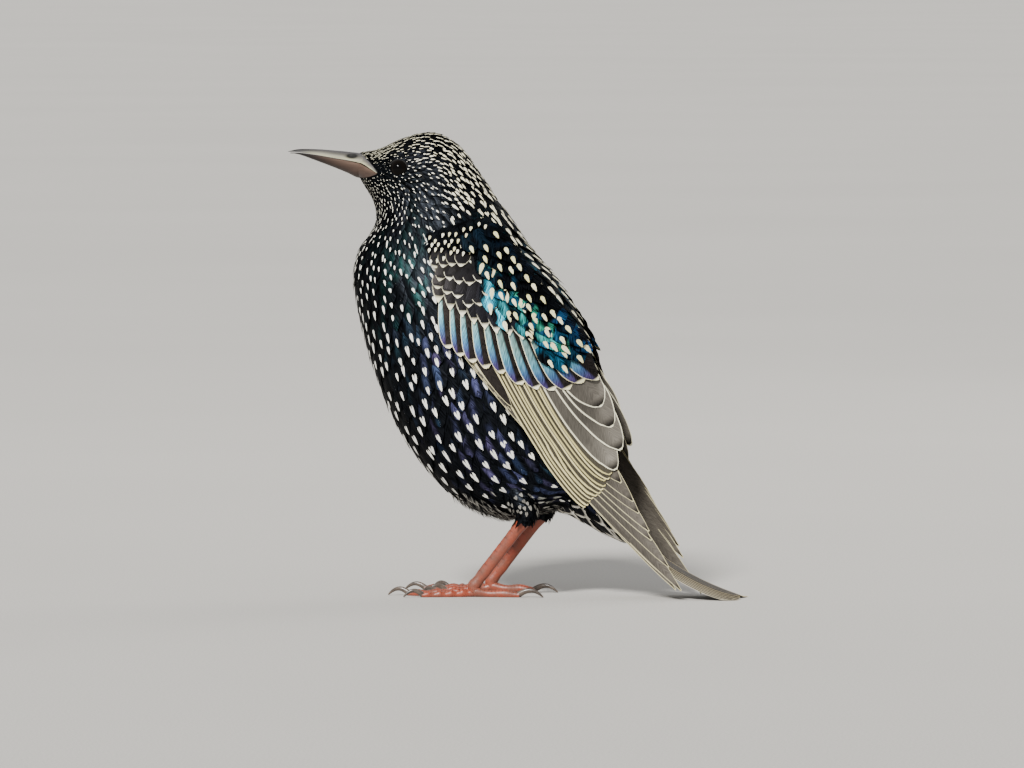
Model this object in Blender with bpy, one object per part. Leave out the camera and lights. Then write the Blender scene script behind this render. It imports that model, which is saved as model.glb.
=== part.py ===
"""A common starling in its spotted winter dress, life size, standing still and upright.

Frame: metres, +Z up, the floor at z = 0. The bird faces -X, and its left side is towards -Y.
The trunk is one loft, parted by thin cuts into head, neck and torso. Each wing and the tail is a
core with its feathers fused on in tiers. Sizes below are in millimetres until a mesh is made.
"""

import math

import bmesh
import bpy
import numpy as np
from mathutils import Matrix, Vector

MM = 0.001
GAP = 0.3  # clearance between neighbouring nodes
SHIFT_X = 1.05  # brings the middle of the bounding box over the origin

# Trunk stations from the bill to the tail root: ventral x, z, dorsal x, z, half-width.
STATIONS = {
    "bill_base": (-52.1, 131.2, -52.4, 139.1, 4.2),
    "forehead": (-50.2, 128.2, -45.8, 140.3, 7.6),
    "eye": (-48.0, 124.4, -37.3, 144.0, 9.8),
    "crown": (-46.9, 120.6, -28.5, 145.5, 11.0),
    "hind_crown": (-47.0, 116.9, -20.3, 141.4, 12.2),
    "nape": (-49.2, 112.8, -13.6, 132.6, 14.0),
    "neck": (-52.7, 107.7, -6.8, 122.2, 16.8),
    "shoulder": (-54.3, 99.5, -0.3, 109.9, 20.6),
    "breast": (-52.7, 89.1, 10.3, 97.7, 23.0),
    "keel": (-49.2, 75.0, 18.1, 83.2, 23.6),
    "belly": (-43.7, 60.2, 22.6, 68.4, 23.0),
    "flank": (-35.6, 45.4, 25.5, 55.1, 21.0),
    "vent_side": (-22.3, 30.9, 26.8, 46.3, 17.4),
    "vent": (-5.2, 23.6, 26.2, 42.5, 13.4),
    "tail_root": (12.0, 26.8, 24.3, 40.3, 9.5),
}
NAMES = list(STATIONS)
TABLE = np.array([STATIONS[name] for name in NAMES])
PEAR = 0.15  # how far the widest line of a section sits towards the belly

# Head turn, so that the bill points a little to the bird's left.
TURN_DEG = 13.0
TURN_PIVOT = (-29.4, 0.0)

# Bill: stations from root to tip with culmen, mouth line, lower edge and half-width.
BILL_X = (-52.6, -59.8, -65.5, -70.9, -74.4)
BILL_CULMEN = (139.0, 139.7, 140.1, 140.1, 139.4)
BILL_MOUTH = (136.2, 137.4, 138.3, 139.0, 139.15)
BILL_LOWER = (131.4, 134.4, 136.4, 138.3, 138.95)
BILL_HALF_WIDTH = (3.7, 2.9, 2.1, 1.2, 0.35)
NOSTRIL = (-55.6, 138.1)
GAPE = (-46.8, 133.2)

EYE_AT = (-39.2, 134.2)
EYE_RADIUS = 3.1
EYE_OUT = 8.35  # sideways distance of the eyeball's centre
EYE_OPENING = 2.65

# Wing: the straight leading edge runs from the wrist to the tip of the longest primary.
WING_WRIST = np.array((-15.3, 78.3))
WING_TIP = np.array((52.7, 2.8))
BLADE_ALONG = (0.0, 45.0, 60.0, 80.0, 101.0)
BLADE_REACH = (18.0, 17.4, 15.2, 13.6, 12.6)
BLADE_SLOPE = (0.65, 0.65, 0.60, 0.28, 0.0)

# Tail: a curve of feathers that starts at the torso's end and is laid on the floor.
TAIL_ROOT = np.array((20.1, 35.7))
TAIL_LENGTH = 65.0
TAIL_DEG_AT = (0.0, 9.0, 40.0, 65.0)
TAIL_DEG = (42.4, 50.0, 31.0, 13.5)  # its angle below the horizon at those lengths

# Legs, for the left side.
LEG_OUT = 12.0
ANKLE = (3.6, 24.4)
BALL = (-12.7, 3.4)
FOOT_STUB = 3.4  # the foot's own neck above its ball
TARSUS_DEPTH = 3.6
TARSUS_WIDTH = 2.8

MATERIALS = {
    "plumage": ((0.016, 0.018, 0.020), 0.42, 0.0),
    "wing_feather": ((0.062, 0.052, 0.040), 0.45, 0.0),
    "tail_feather": ((0.045, 0.040, 0.034), 0.45, 0.0),
    "bill_horn": ((0.30, 0.23, 0.15), 0.35, 0.0),
    "eye_dark": ((0.010, 0.007, 0.005), 0.05, 0.0),
    "leg_skin": ((0.44, 0.13, 0.075), 0.5, 0.0),
    "claw_horn": ((0.05, 0.04, 0.035), 0.35, 0.0),
}


def clear_scene():
    for obj in list(bpy.data.objects):
        bpy.data.objects.remove(obj, do_unlink=True)


def make_materials():
    made = {}
    for name, (colour, roughness, metallic) in MATERIALS.items():
        material = bpy.data.materials.new(name)
        material.use_nodes = True
        shader = material.node_tree.nodes["Principled BSDF"]
        shader.inputs["Base Color"].default_value = (*colour, 1.0)
        shader.inputs["Roughness"].default_value = roughness
        shader.inputs["Metallic"].default_value = metallic
        made[name] = material
    return made


def hermite(table, at):
    """Smooth curve through the rows of table, read at station numbers `at`."""
    table = np.asarray(table, float)
    at = np.clip(np.asarray(at, float), 0, len(table) - 1)
    low = np.minimum(at.astype(int), len(table) - 2)
    t = (at - low)[..., None]
    slope = np.gradient(table, axis=0)
    p0, p1, m0, m1 = table[low], table[low + 1], slope[low], slope[low + 1]
    return (
        (2 * t**3 - 3 * t**2 + 1) * p0
        + (t**3 - 2 * t**2 + t) * m0
        + (3 * t**2 - 2 * t**3) * p1
        + (t**3 - t**2) * m1
    )


def line(points, count):
    """`count` evenly spread points on the smooth curve through `points`."""
    return hermite(points, np.linspace(0, len(points) - 1, count))


def smoothstep(x):
    x = np.clip(x, 0, 1)
    return x * x * (3 - 2 * x)


def head_turn(at):
    """Share of the head's turn at a station number: all of it to the crown, none at the breast."""
    return 1 - smoothstep((np.asarray(at, float) - 3.2) / 4.3)


def turned(points, share=1.0):
    """Points (..., 3) turned about the vertical axis through the neck."""
    points = np.array(points, float)
    angle = math.radians(TURN_DEG) * np.asarray(share, float)
    x, y = points[..., 0] - TURN_PIVOT[0], points[..., 1] - TURN_PIVOT[1]
    points[..., 0] = TURN_PIVOT[0] + x * np.cos(angle) - y * np.sin(angle)
    points[..., 1] = TURN_PIVOT[1] + x * np.sin(angle) + y * np.cos(angle)
    return points


def trunk_ring(at, sides, grow=0.0):
    """One section of the trunk, a closed ring of points that starts at the belly."""
    vx, vz, dx, dz, half = hermite(TABLE, [at])[0]
    ventral, dorsal = np.array((vx, vz)), np.array((dx, dz))
    up = (dorsal - ventral) / np.linalg.norm(dorsal - ventral)
    ventral, dorsal = ventral - up * grow, dorsal + up * grow
    phi = np.arange(sides) * 2 * math.pi / sides
    share = ((1 - np.cos(phi)) / 2)[:, None]
    side_view = ventral + (dorsal - ventral) * share
    y = -(half + grow) * np.sin(phi) * (1 + PEAR * np.cos(phi))
    ring = np.column_stack((side_view[:, 0], y, side_view[:, 1]))
    return turned(ring, head_turn(at))


def flank(x, z, grow, back):
    """Half-width of the trunk at side-view points, from the neck to the tail root."""
    first = NAMES.index("neck")
    at = np.linspace(first, len(TABLE) - 1, 260)
    rows = hermite(TABLE, at)
    ventral, dorsal, half = rows[:, 0:2], rows[:, 2:4], rows[:, 4]
    span = dorsal - ventral
    up = span / np.linalg.norm(span, axis=1)[:, None]
    ventral, dorsal = ventral - up * grow, dorsal + up * back
    span = dorsal - ventral
    p = np.stack((np.ravel(x), np.ravel(z)), axis=1)
    rel = p[:, None, :] - ventral[None]
    cross = span[None, :, 0] * rel[..., 1] - span[None, :, 1] * rel[..., 0]
    crossed = (cross[:, :-1] > 0) != (cross[:, 1:] > 0)
    found = crossed.any(axis=1)
    j = crossed.argmax(axis=1)
    rows_index = np.arange(len(p))
    c0, c1 = cross[rows_index, j], cross[rows_index, j + 1]
    f = np.where(found, c0 / np.where(c0 == c1, 1, c0 - c1), 0)[:, None]
    v = ventral[j] * (1 - f) + ventral[j + 1] * f
    s = span[j] * (1 - f) + span[j + 1] * f
    w = half[j] * (1 - f[:, 0]) + half[j + 1] * f[:, 0]
    share = ((p - v) * s).sum(1) / (s * s).sum(1)
    cosine = np.clip(1 - 2 * share, -1, 1)
    sine = np.sqrt(1 - cosine**2)
    out = np.where(found, (w + grow) * sine * (1 + PEAR * cosine), 0)
    return out.reshape(np.shape(x))


def wing_axes():
    along = (WING_TIP - WING_WRIST) / np.linalg.norm(WING_TIP - WING_WRIST)
    return along, np.array((-along[1], along[0]))


def wing_reach(x, z):
    """Sideways distance of the wing's inner face: over the flank, then on as a blade to the tip."""
    along, across = wing_axes()
    rel = np.stack((np.asarray(x, float), np.asarray(z, float)), -1) - WING_WRIST
    a, b = rel @ along, np.maximum(rel @ across, 0)
    blade = np.interp(a, BLADE_ALONG, BLADE_REACH) - np.interp(a, BLADE_ALONG, BLADE_SLOPE) * b
    blade = np.maximum(blade, 2.2)
    body = flank(x, z, 0.65, 1.6)
    soft = 1.2
    return 0.5 * (body + blade + np.sqrt((body - blade) ** 2 + soft**2))


def wing_point(x, z, out):
    """The left wing's point `out` millimetres off its inner face, square to the surface."""
    x, z = np.asarray(x, float), np.asarray(z, float)
    step = 0.6
    y = wing_reach(x, z)
    slope_x = (wing_reach(x + step, z) - wing_reach(x - step, z)) / (2 * step)
    slope_z = (wing_reach(x, z + step) - wing_reach(x, z - step)) / (2 * step)
    slope_x, slope_z = np.clip(slope_x, -2.2, 2.2), np.clip(slope_z, -2.2, 2.2)
    size = np.sqrt(1 + slope_x**2 + slope_z**2)
    return np.stack((x - out * slope_x / size, -(y + out / size), z - out * slope_z / size), -1)


def tail_point(along, side, up):
    """A point `along` the tail's curve from its root, `side` of its middle and `up` off it."""
    along, side, up = np.broadcast_arrays(
        np.asarray(along, float), np.asarray(side, float), np.asarray(up, float)
    )
    first = math.radians(TAIL_DEG[0])
    fine = np.linspace(0, 1.1 * TAIL_LENGTH, 200)
    angle = np.radians(hermite(np.array(TAIL_DEG)[:, None], np.interp(fine, TAIL_DEG_AT, range(4)))[:, 0])
    step = np.diff(fine, prepend=0)
    curve_x = TAIL_ROOT[0] + np.cumsum(np.cos(angle) * step)
    curve_z = TAIL_ROOT[1] - np.cumsum(np.sin(angle) * step)
    here = np.interp(along, fine, angle)
    before = np.minimum(along, 0)
    x = np.interp(along, fine, curve_x) + up * np.sin(here) + before * math.cos(first)
    z = np.interp(along, fine, curve_z) + up * np.cos(here) - before * math.sin(first)
    return np.stack((x, side, z), -1)


def new_object(name, vertices_mm, faces):
    mesh = bpy.data.meshes.new(name)
    points = np.asarray(vertices_mm, float) * MM
    mesh.from_pydata(points.tolist(), [], faces)
    obj = bpy.data.objects.new(name, mesh)
    bpy.context.scene.collection.objects.link(obj)
    make_outward(obj)
    return obj


def make_outward(obj):
    shape = bmesh.new()
    shape.from_mesh(obj.data)
    bmesh.ops.recalc_face_normals(shape, faces=shape.faces)
    if shape.calc_volume(signed=True) < 0:
        bmesh.ops.reverse_faces(shape, faces=shape.faces)
    shape.to_mesh(obj.data)
    shape.free()


def lofted(name, rings):
    """A closed solid through rings of equally many points, with a fan over each end."""
    rings = np.asarray(rings, float)
    count, sides = rings.shape[:2]
    faces = []
    for i in range(count - 1):
        for j in range(sides):
            k = (j + 1) % sides
            faces.append((i * sides + j, i * sides + k, (i + 1) * sides + k, (i + 1) * sides + j))
    first, last = count * sides, count * sides + 1
    for j in range(sides):
        k = (j + 1) % sides
        faces.append((first, k, j))
        faces.append((last, (count - 1) * sides + j, (count - 1) * sides + k))
    ends = np.stack((rings[0].mean(0), rings[-1].mean(0)))
    return new_object(name, np.vstack((rings.reshape(-1, 3), ends)), faces)


def as_mesh(obj, weld=True):
    """The object with its modifiers or curve applied, as a plain mesh object of the same name."""
    graph = bpy.context.evaluated_depsgraph_get()
    graph.update()
    mesh = bpy.data.meshes.new_from_object(obj.evaluated_get(graph))
    name = obj.name
    matrix = obj.matrix_world.copy()
    bpy.data.objects.remove(obj, do_unlink=True)
    made = bpy.data.objects.new(name, mesh)
    made.matrix_world = matrix
    bpy.context.scene.collection.objects.link(made)
    if weld:
        shape = bmesh.new()
        shape.from_mesh(mesh)
        bmesh.ops.remove_doubles(shape, verts=shape.verts, dist=1e-6)
        shape.to_mesh(mesh)
        shape.free()
    return made


def tube(name, points_mm, radii_mm, resolution=2):
    """A round tube of changing radius along a line of points."""
    curve = bpy.data.curves.new(name, "CURVE")
    curve.dimensions = "3D"
    curve.bevel_depth = MM
    curve.bevel_resolution = resolution
    curve.use_fill_caps = True
    spline = curve.splines.new("POLY")
    spline.points.add(len(points_mm) - 1)
    for point, place, radius in zip(spline.points, points_mm, radii_mm):
        point.co = (*(np.asarray(place, float) * MM), 1.0)
        point.radius = float(radius)
    obj = bpy.data.objects.new(name, curve)
    bpy.context.scene.collection.objects.link(obj)
    bpy.context.view_layer.update()
    made = as_mesh(obj)
    make_outward(made)
    return made


def keep_largest(obj):
    """Keeps only the closed surface with the largest box, and drops loose scraps and inner shells."""
    shape = bmesh.new()
    shape.from_mesh(obj.data)
    seen, groups = set(), []
    for start in shape.faces:
        if start in seen:
            continue
        stack, group = [start], []
        seen.add(start)
        while stack:
            face = stack.pop()
            group.append(face)
            for edge in face.edges:
                if len(edge.link_faces) != 2:
                    continue
                for other in edge.link_faces:
                    if other not in seen:
                        seen.add(other)
                        stack.append(other)
        groups.append(group)

    def reach(group):
        places = np.array([vert.co for face in group for vert in face.verts])
        return float(np.prod(np.ptp(places, axis=0) + 1e-6))

    groups.sort(key=reach, reverse=True)
    for group in groups[1:]:
        bmesh.ops.delete(shape, geom=group, context="FACES")
    bmesh.ops.triangulate(shape, faces=shape.faces)
    shape.to_mesh(obj.data)
    shape.free()


def combined(base, others, operation, solver="EXACT"):
    """The base with a collection of closed meshes joined to it, or cut from it."""
    group = bpy.data.collections.new(base.name + "_" + operation.lower())
    bpy.context.scene.collection.children.link(group)
    for other in others:
        bpy.context.scene.collection.objects.unlink(other)
        group.objects.link(other)
    modifier = base.modifiers.new(operation.lower(), "BOOLEAN")
    modifier.operation = operation
    modifier.operand_type = "COLLECTION"
    modifier.collection = group
    modifier.solver = solver
    bpy.context.view_layer.update()
    made = as_mesh(base, weld=False)
    for other in list(group.objects):
        bpy.data.objects.remove(other, do_unlink=True)
    bpy.data.collections.remove(group)
    keep_largest(made)
    return made


def bridge_touches(obj, size=0.45, rounds=5):
    """Where two vanes only touch along a line, a small bead joins them, so the surface is sound."""
    for _ in range(rounds):
        shape = bmesh.new()
        shape.from_mesh(obj.data)
        spots = [
            (edge.verts[0].co + edge.verts[1].co) / 2 for edge in shape.edges if len(edge.link_faces) > 2
        ]
        shape.free()
        if not spots:
            return obj
        beads = []
        for i, spot in enumerate(spots):
            bpy.ops.mesh.primitive_ico_sphere_add(subdivisions=1, radius=size * (1 + 0.1 * i) * MM)
            bead = bpy.context.object
            bead.matrix_world = Matrix.Translation(spot) @ Matrix.Rotation(0.7 + i, 4, "X")
            bpy.context.view_layer.update()
            beads.append(as_mesh(bead))
        obj = combined(obj, beads, "UNION", "MANIFOLD")
    return obj


def mirrored(obj, name):
    mesh = obj.data.copy()
    mesh.transform(Matrix.Diagonal((1, -1, 1, 1)))
    mesh.flip_normals()
    made = bpy.data.objects.new(name, mesh)
    bpy.context.scene.collection.objects.link(made)
    return made


def laid_on_floor(obj, level=0.0):
    """Presses whatever reaches below the floor flat against it."""
    for vertex in obj.data.vertices:
        vertex.co.z = max(vertex.co.z, level * MM)


# Feather vanes. Each is a five-sided slab: a raised leading edge, a shaft and a trailing edge.
# An outline gives stations along the vane and the share of its full width at each.
FLIGHT_VANE = np.array(((0.0, 0.3, 0.62, 0.86, 1.0), (0.5, 0.95, 1.0, 0.78, 0.26)))
COVERT_VANE = np.array(((0.0, 0.45, 0.84, 1.0), (0.55, 1.0, 0.86, 0.3)))
POINTED_VANE = np.array(((0.0, 0.35, 0.78, 1.0), (0.6, 1.0, 0.72, 0.16)))


def vane(name, place, root, tip, half, low, high, tilt, thick, outline=COVERT_VANE):
    """A feather from root to tip on the surface that `place` maps to.

    low and high are the heights of its top at the root and the tip, tilt is how much its leading
    edge stands above its trailing edge, and thick is its depth, which sinks a covert into its bed.
    """
    root, tip = np.asarray(root, float), np.asarray(tip, float)
    axis = (tip - root) / np.linalg.norm(tip - root)
    lead = np.array((axis[1], -axis[0]))
    stations, shares = outline
    centre = root + (tip - root) * stations[:, None]
    width = half * shares
    top = low + (high - low) * stations
    rings = []
    for spot, wide, height in zip(centre, width, top):
        leading, shaft, trailing = spot + lead * wide, spot + lead * wide * 0.25, spot - lead * wide
        corners = (
            (leading, height + tilt),
            (shaft, height + tilt * 0.7 + 0.12),
            (trailing, height),
            (trailing, height - thick),
            (leading, height + tilt - thick),
        )
        flat = np.array([corner[0] for corner in corners])
        rise = np.array([corner[1] for corner in corners])
        rings.append(place(flat[:, 0], flat[:, 1], rise))
    return lofted(name, rings)


def tract(name, place, roots, tips, count, half, low, high, tilt, thick, outline=COVERT_VANE):
    """A row of vanes whose roots and tips are spread along two smooth lines."""
    halves = np.linspace(half[0], half[1], count)
    starts, ends = line(roots, count), line(tips, count)
    feathers = []
    for i in range(count):
        uneven = math.sin(5.3 * i + len(name))
        tip = ends[i] + (ends[i] - starts[i]) * 0.012 * uneven
        lift = 0.04 * math.sin(3.7 * i + 1.3 * len(name))
        feathers.append(vane(
            f"{name}_{i}", place, starts[i], tip, halves[i] * (1 + 0.04 * uneven),
            low + lift, high + lift, tilt, thick, outline,
        ))
    return feathers


def build_trunk():
    """Head, neck and torso, parted at the nape and the shoulder by the usual gap."""
    sides = 26
    cuts = {
        "head": (0.0, 4.9, 13),
        "neck": (4.9, 6.8, 6),
        "torso": (6.8, len(TABLE) - 1.0, 21),
    }
    length = 0.5 * GAP / 9.0  # half the gap, in station numbers: stations lie about 9 mm apart
    made = {}
    for name, (first, last, count) in cuts.items():
        start = first + (length if first > 0 else 0)
        stop = last - (length if last < len(TABLE) - 1 else 0)
        rings = [trunk_ring(at, sides) for at in np.linspace(start, stop, count)]
        made[name] = lofted(name, rings)
    return made


def eye_frame(side):
    """Centre and outward direction of an eye, side -1 for the left, turned with the head."""
    centre = turned(np.array((EYE_AT[0], side * EYE_OUT, EYE_AT[1])))
    out = turned(np.array((TURN_PIVOT[0] - 0.22, side * 0.97, 0.10))) - turned(
        np.array((TURN_PIVOT[0], 0.0, 0.0))
    )
    return centre, out / np.linalg.norm(out)


def ball_mesh(name, centre, out, radius, rings=8, segments=14):
    """A sphere with its pole towards `out`."""
    bpy.ops.mesh.primitive_uv_sphere_add(segments=segments, ring_count=rings, radius=radius * MM)
    obj = bpy.context.object
    obj.name = name
    obj.matrix_world = Matrix.Translation(Vector(centre) * MM) @ Vector(out).to_track_quat(
        "Z", "Y"
    ).to_matrix().to_4x4()
    bpy.context.view_layer.update()
    return as_mesh(obj)


def lid_ring(name, centre, out):
    """The eyelids' rim, a thin ring where the eyeball leaves the skin."""
    bpy.ops.mesh.primitive_torus_add(
        major_segments=16,
        minor_segments=6,
        major_radius=(EYE_OPENING + 0.42) * MM,
        minor_radius=0.62 * MM,
    )
    obj = bpy.context.object
    obj.name = name
    lift = math.sqrt(EYE_RADIUS**2 - EYE_OPENING**2) - 0.25
    place = Vector(centre) + Vector(out) * lift
    obj.matrix_world = Matrix.Translation(place * MM) @ Vector(out).to_track_quat(
        "Z", "Y"
    ).to_matrix().to_4x4()
    bpy.context.view_layer.update()
    return as_mesh(obj)


def mouth_groove():
    """A thin wedge that cuts the mouth line back from the bill to the gape, across the head."""
    start = np.array((BILL_X[0] - 1.0, BILL_MOUTH[0] + 0.15))
    end = np.array(GAPE)
    axis = (end - start) / np.linalg.norm(end - start)
    across = np.array((-axis[1], axis[0]))
    corners = [start + across * 0.3, start - across * 0.3, end - across * 0.12, end + across * 0.12]
    pieces = []
    for side in (-1, 1):
        rings = []
        for y in (side * 3.4, side * 12.0):
            ring = np.array([(c[0], y, c[1]) for c in corners])
            rings.append(turned(ring))
        pieces.append(lofted(f"mouth_line_{side}", rings))
    return pieces


def build_head(head):
    """Adds the lids, then cuts the eye sockets and the line of the mouth behind the bill."""
    frames = {"eye_left": eye_frame(-1), "eye_right": eye_frame(1)}
    lids = [lid_ring("lid_" + name, *frame) for name, frame in frames.items()]
    head = combined(head, lids, "UNION")
    sockets = [
        ball_mesh("socket_" + name, centre, out, EYE_RADIUS + GAP)
        for name, (centre, out) in frames.items()
    ]
    head = combined(head, sockets + mouth_groove(), "DIFFERENCE")
    eyes = {
        name: ball_mesh(name, centre, out, EYE_RADIUS) for name, (centre, out) in frames.items()
    }
    return head, eyes


def bill_ring(x, top, bottom, half, upper, sides=10):
    """A bill section: a rounded ridge over a flat cutting face, or the same upside down."""
    theta = np.linspace(0, math.pi, sides)
    y = half * np.cos(theta)
    height = np.sin(theta) ** 0.9
    z = bottom + (top - bottom) * height if upper else top - (top - bottom) * height
    return turned(np.column_stack((np.full(sides, x), y, z)))


def build_bill():
    """Upper and lower mandible, with the mouth line as the gap between them."""
    count = 9
    at = np.linspace(0, len(BILL_X) - 1, count)
    table = np.column_stack((BILL_X, BILL_CULMEN, BILL_MOUTH, BILL_LOWER, BILL_HALF_WIDTH))
    rows = hermite(table, at)
    half_gap = GAP / 2
    upper = [bill_ring(r[0], r[1], r[2] + half_gap, r[4], True) for r in rows]
    shorter = rows.copy()
    shorter[-1, 0] += 0.7
    lower = [
        bill_ring(r[0], r[2] - half_gap, min(r[3], r[2] - half_gap - 0.25), r[4] * 0.94, False)
        for r in shorter
    ]
    upper, lower = lofted("bill_upper", upper), lofted("bill_lower", lower)
    nostrils = []
    for side in (-1, 1):
        centre = turned(np.array((NOSTRIL[0], side * 3.55, NOSTRIL[1])))
        pit = ball_mesh(f"nostril_{side}", centre, (1, 0, 0), 0.55, rings=6, segments=8)
        stretch = Matrix.Translation(Vector(centre) * MM) @ Matrix.Diagonal((2.0, 1.6, 1.0, 1))
        pit.data.transform(stretch @ Matrix.Translation(-Vector(centre) * MM) @ pit.matrix_world)
        pit.matrix_world = Matrix.Identity(4)
        nostrils.append(pit)
    upper = combined(upper, nostrils, "DIFFERENCE")
    return {"bill_upper": upper, "bill_lower": lower}


# Wing core: its leading and dorsal boundaries in side view.
CORE_LEADING = (
    (-16.5, 110.0), (-19.6, 104.5), (-20.4, 97.0), (-19.6, 89.5), (-15.6, 81.0),
    (-7.0, 70.6), (3.2, 58.0), (13.4, 45.6), (21.5, 37.0),
)
CORE_DORSAL = (
    (-8.0, 110.5), (-3.0, 106.5), (2.5, 100.0), (7.5, 93.0), (12.5, 84.0),
    (17.0, 74.0), (21.5, 64.0), (25.5, 54.5), (27.5, 44.5),
)
CORE_THICK = (1.3, 1.7, 2.0, 2.1, 2.0, 1.8, 1.5, 1.2, 0.8)


def wing_core():
    rows, columns = 15, 7
    leading, dorsal = line(CORE_LEADING, rows), line(CORE_DORSAL, rows)
    thick = line(np.array(CORE_THICK)[:, None], rows)[:, 0]
    t = np.linspace(0, 1, columns)
    rings = []
    for i in range(rows):
        flat = leading[i] + (dorsal[i] - leading[i]) * t[:, None]
        swell = thick[i] * (0.35 + 0.65 * np.sin(math.pi * np.clip(t, 0.0, 1.0)) ** 0.6)
        outer = wing_point(flat[:, 0], flat[:, 1], swell)
        inner = wing_point(flat[:, 0], flat[:, 1], np.zeros(columns))
        rings.append(np.vstack((outer, inner[::-1])))
    return lofted("wing_left", rings)


def build_wing():
    """The left wing: a core under primaries, secondaries, tertials and their tiers of coverts."""
    place = wing_point
    feathers = []
    feathers += tract(
        "primary", place,
        roots=((-16.5, 83.0), (-13.0, 82.5), (-9.0, 83.0)),
        tips=((49.6, 6.6), (52.9, 3.2), (50.0, 9.6), (46.4, 16.4), (42.6, 23.0), (39.0, 29.2), (35.6, 34.6)),
        count=8, half=(3.2, 5.0), low=0.75, high=0.9, tilt=0.55, thick=0.65, outline=FLIGHT_VANE,
    )
    feathers += tract(
        "secondary", place,
        roots=((-9.0, 84.0), (-2.0, 83.0), (5.0, 82.0)),
        tips=((27.0, 32.0), (30.2, 36.6), (31.6, 40.2)),
        count=5, half=(4.2, 5.0), low=1.0, high=1.15, tilt=0.6, thick=0.85, outline=FLIGHT_VANE,
    )
    feathers += tract(
        "tertial", place,
        roots=((6.0, 82.0), (9.0, 82.0), (11.0, 83.0)),
        tips=((32.6, 41.8), (32.6, 48.6), (28.4, 56.6)),
        count=3, half=(5.6, 5.2), low=1.5, high=1.4, tilt=0.9, thick=1.1, outline=FLIGHT_VANE,
    )
    feathers += tract(
        "alula_covert", place,
        roots=((-18.6, 92.0), (-17.2, 90.0)),
        tips=((-7.5, 70.8), (-2.6, 64.6), (3.4, 58.6)),
        count=4, half=(1.7, 1.9), low=1.1, high=1.3, tilt=0.4, thick=1.0, outline=POINTED_VANE,
    )
    feathers += tract(
        "greater_covert", place,
        roots=((-18.6, 96.5), (-11.4, 94.2), (-3.4, 90.6), (4.6, 87.0), (9.6, 86.0)),
        tips=((-14.6, 77.4), (-4.0, 72.6), (6.6, 68.0), (15.6, 66.6), (23.0, 69.4)),
        count=8, half=(2.9, 3.8), low=1.6, high=2.0, tilt=0.5, thick=1.3,
    )
    feathers += tract(
        "median_covert", place,
        roots=((-18.8, 105.0), (-12.4, 102.6), (-6.0, 100.0), (0.0, 97.0)),
        tips=((-19.4, 94.2), (-13.0, 90.4), (-5.4, 86.4), (3.0, 83.0)),
        count=5, half=(3.2, 3.6), low=1.8, high=2.5, tilt=0.4, thick=1.5,
    )
    feathers += tract(
        "lesser_covert", place,
        roots=((-16.0, 110.0), (-11.0, 109.5), (-6.0, 108.0)),
        tips=((-19.4, 101.6), (-12.6, 98.4), (-4.6, 94.6)),
        count=4, half=(3.0, 3.4), low=1.5, high=2.7, tilt=0.3, thick=1.5,
    )
    feathers += tract(
        "scapular", place,
        roots=((-4.0, 107.0), (1.0, 102.0), (6.0, 96.0)),
        tips=((1.4, 82.6), (10.6, 77.6), (17.6, 74.4)),
        count=4, half=(4.0, 3.6), low=1.8, high=2.9, tilt=0.4, thick=1.7,
    )
    wing = bridge_touches(combined(wing_core(), feathers, "UNION", "MANIFOLD"))
    return {"wing_left": wing, "wing_right": mirrored(wing, "wing_right")}


def tail_core():
    """The tail's fleshy root, from the section of the torso's end to a flat wedge."""
    sides, count = 16, 6
    root = hermite(TABLE, [len(TABLE) - 1.0])[0]
    up_root = math.dist((root[2], root[3]), TAIL_ROOT)
    down_root = math.dist((root[0], root[1]), TAIL_ROOT)
    rings = []
    for at in np.linspace(0, 1, count):
        along = GAP + 27.0 * at
        up = up_root * (1 - at) ** 1.2 + 0.9
        down = down_root * (1 - at) ** 0.9 + 0.9
        half = 9.3 + (6.4 - 9.3) * at
        phi = np.arange(sides) * 2 * math.pi / sides
        rise = np.where(np.cos(phi) > 0, up, down) * np.cos(phi)
        rings.append(tail_point(along, half * np.sin(phi), rise))
    return lofted("tail", rings)


def build_tail():
    """Twelve rectrices, the middle pair on top, with coverts above and below their roots."""
    feathers = []
    pairs = 6
    for side in (-1, 1):
        def over(along, off, rise, side=side):
            return tail_point(along, side * off, rise)

        for i in range(pairs):
            share = i / (pairs - 1)
            height = 0.9 - 1.5 * share + 0.015 * side
            feathers.append(vane(
                f"rectrix_{side}_{i}", over, (12.0 + 0.1 * side, 0.53 + 3.2 * share),
                (TAIL_LENGTH - 2.4 * (1 - share) - 1.4 * share**3, 1.6 + 7.6 * share),
                4.3 - 0.9 * share, height, height + 0.25, -0.25, 0.65, FLIGHT_VANE,
            ))
        for row, (start, stop, count, wide) in enumerate(((-2.0, 24.0, 2, 4.2), (8.0, 34.0, 2, 3.8))):
            for i in range(count):
                off = 1.6 + 3.6 * i
                feathers.append(vane(
                    f"upper_covert_{side}_{row}_{i}", over, (start + 3.0, off * 0.8),
                    (stop - 3.0 * i, off), wide, 3.6 - 1.6 * row, 1.9 - 0.5 * row, -0.25, 1.7,
                ))
    flip = tail_point
    for row, (start, stop, depth) in enumerate(((3.0, 24.0, 5.6), (9.0, 33.0, 3.9), (15.0, 43.0, 2.6))):
        for off in ((-3.6, 3.6), (-2.6, 2.6), (0.0,))[row]:
            def under(along, side, rise):
                return flip(along, side, -rise)

            feathers.append(vane(
                f"under_covert_{row}_{off}", under, (start, off), (stop, off * 0.8), 4.4,
                depth + 1.8 - 0.6 * row, depth - 1.3, 0.0, 1.8,
            ))
    tail = bridge_touches(combined(tail_core(), feathers, "UNION", "MANIFOLD"))
    laid_on_floor(tail)
    return {"tail": tail}


def leg_line():
    ankle = np.array((ANKLE[0], -LEG_OUT, ANKLE[1]))
    ball = np.array((BALL[0], -LEG_OUT, BALL[1]))
    axis = (ball - ankle) / np.linalg.norm(ball - ankle)
    return ankle, ball, axis


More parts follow.
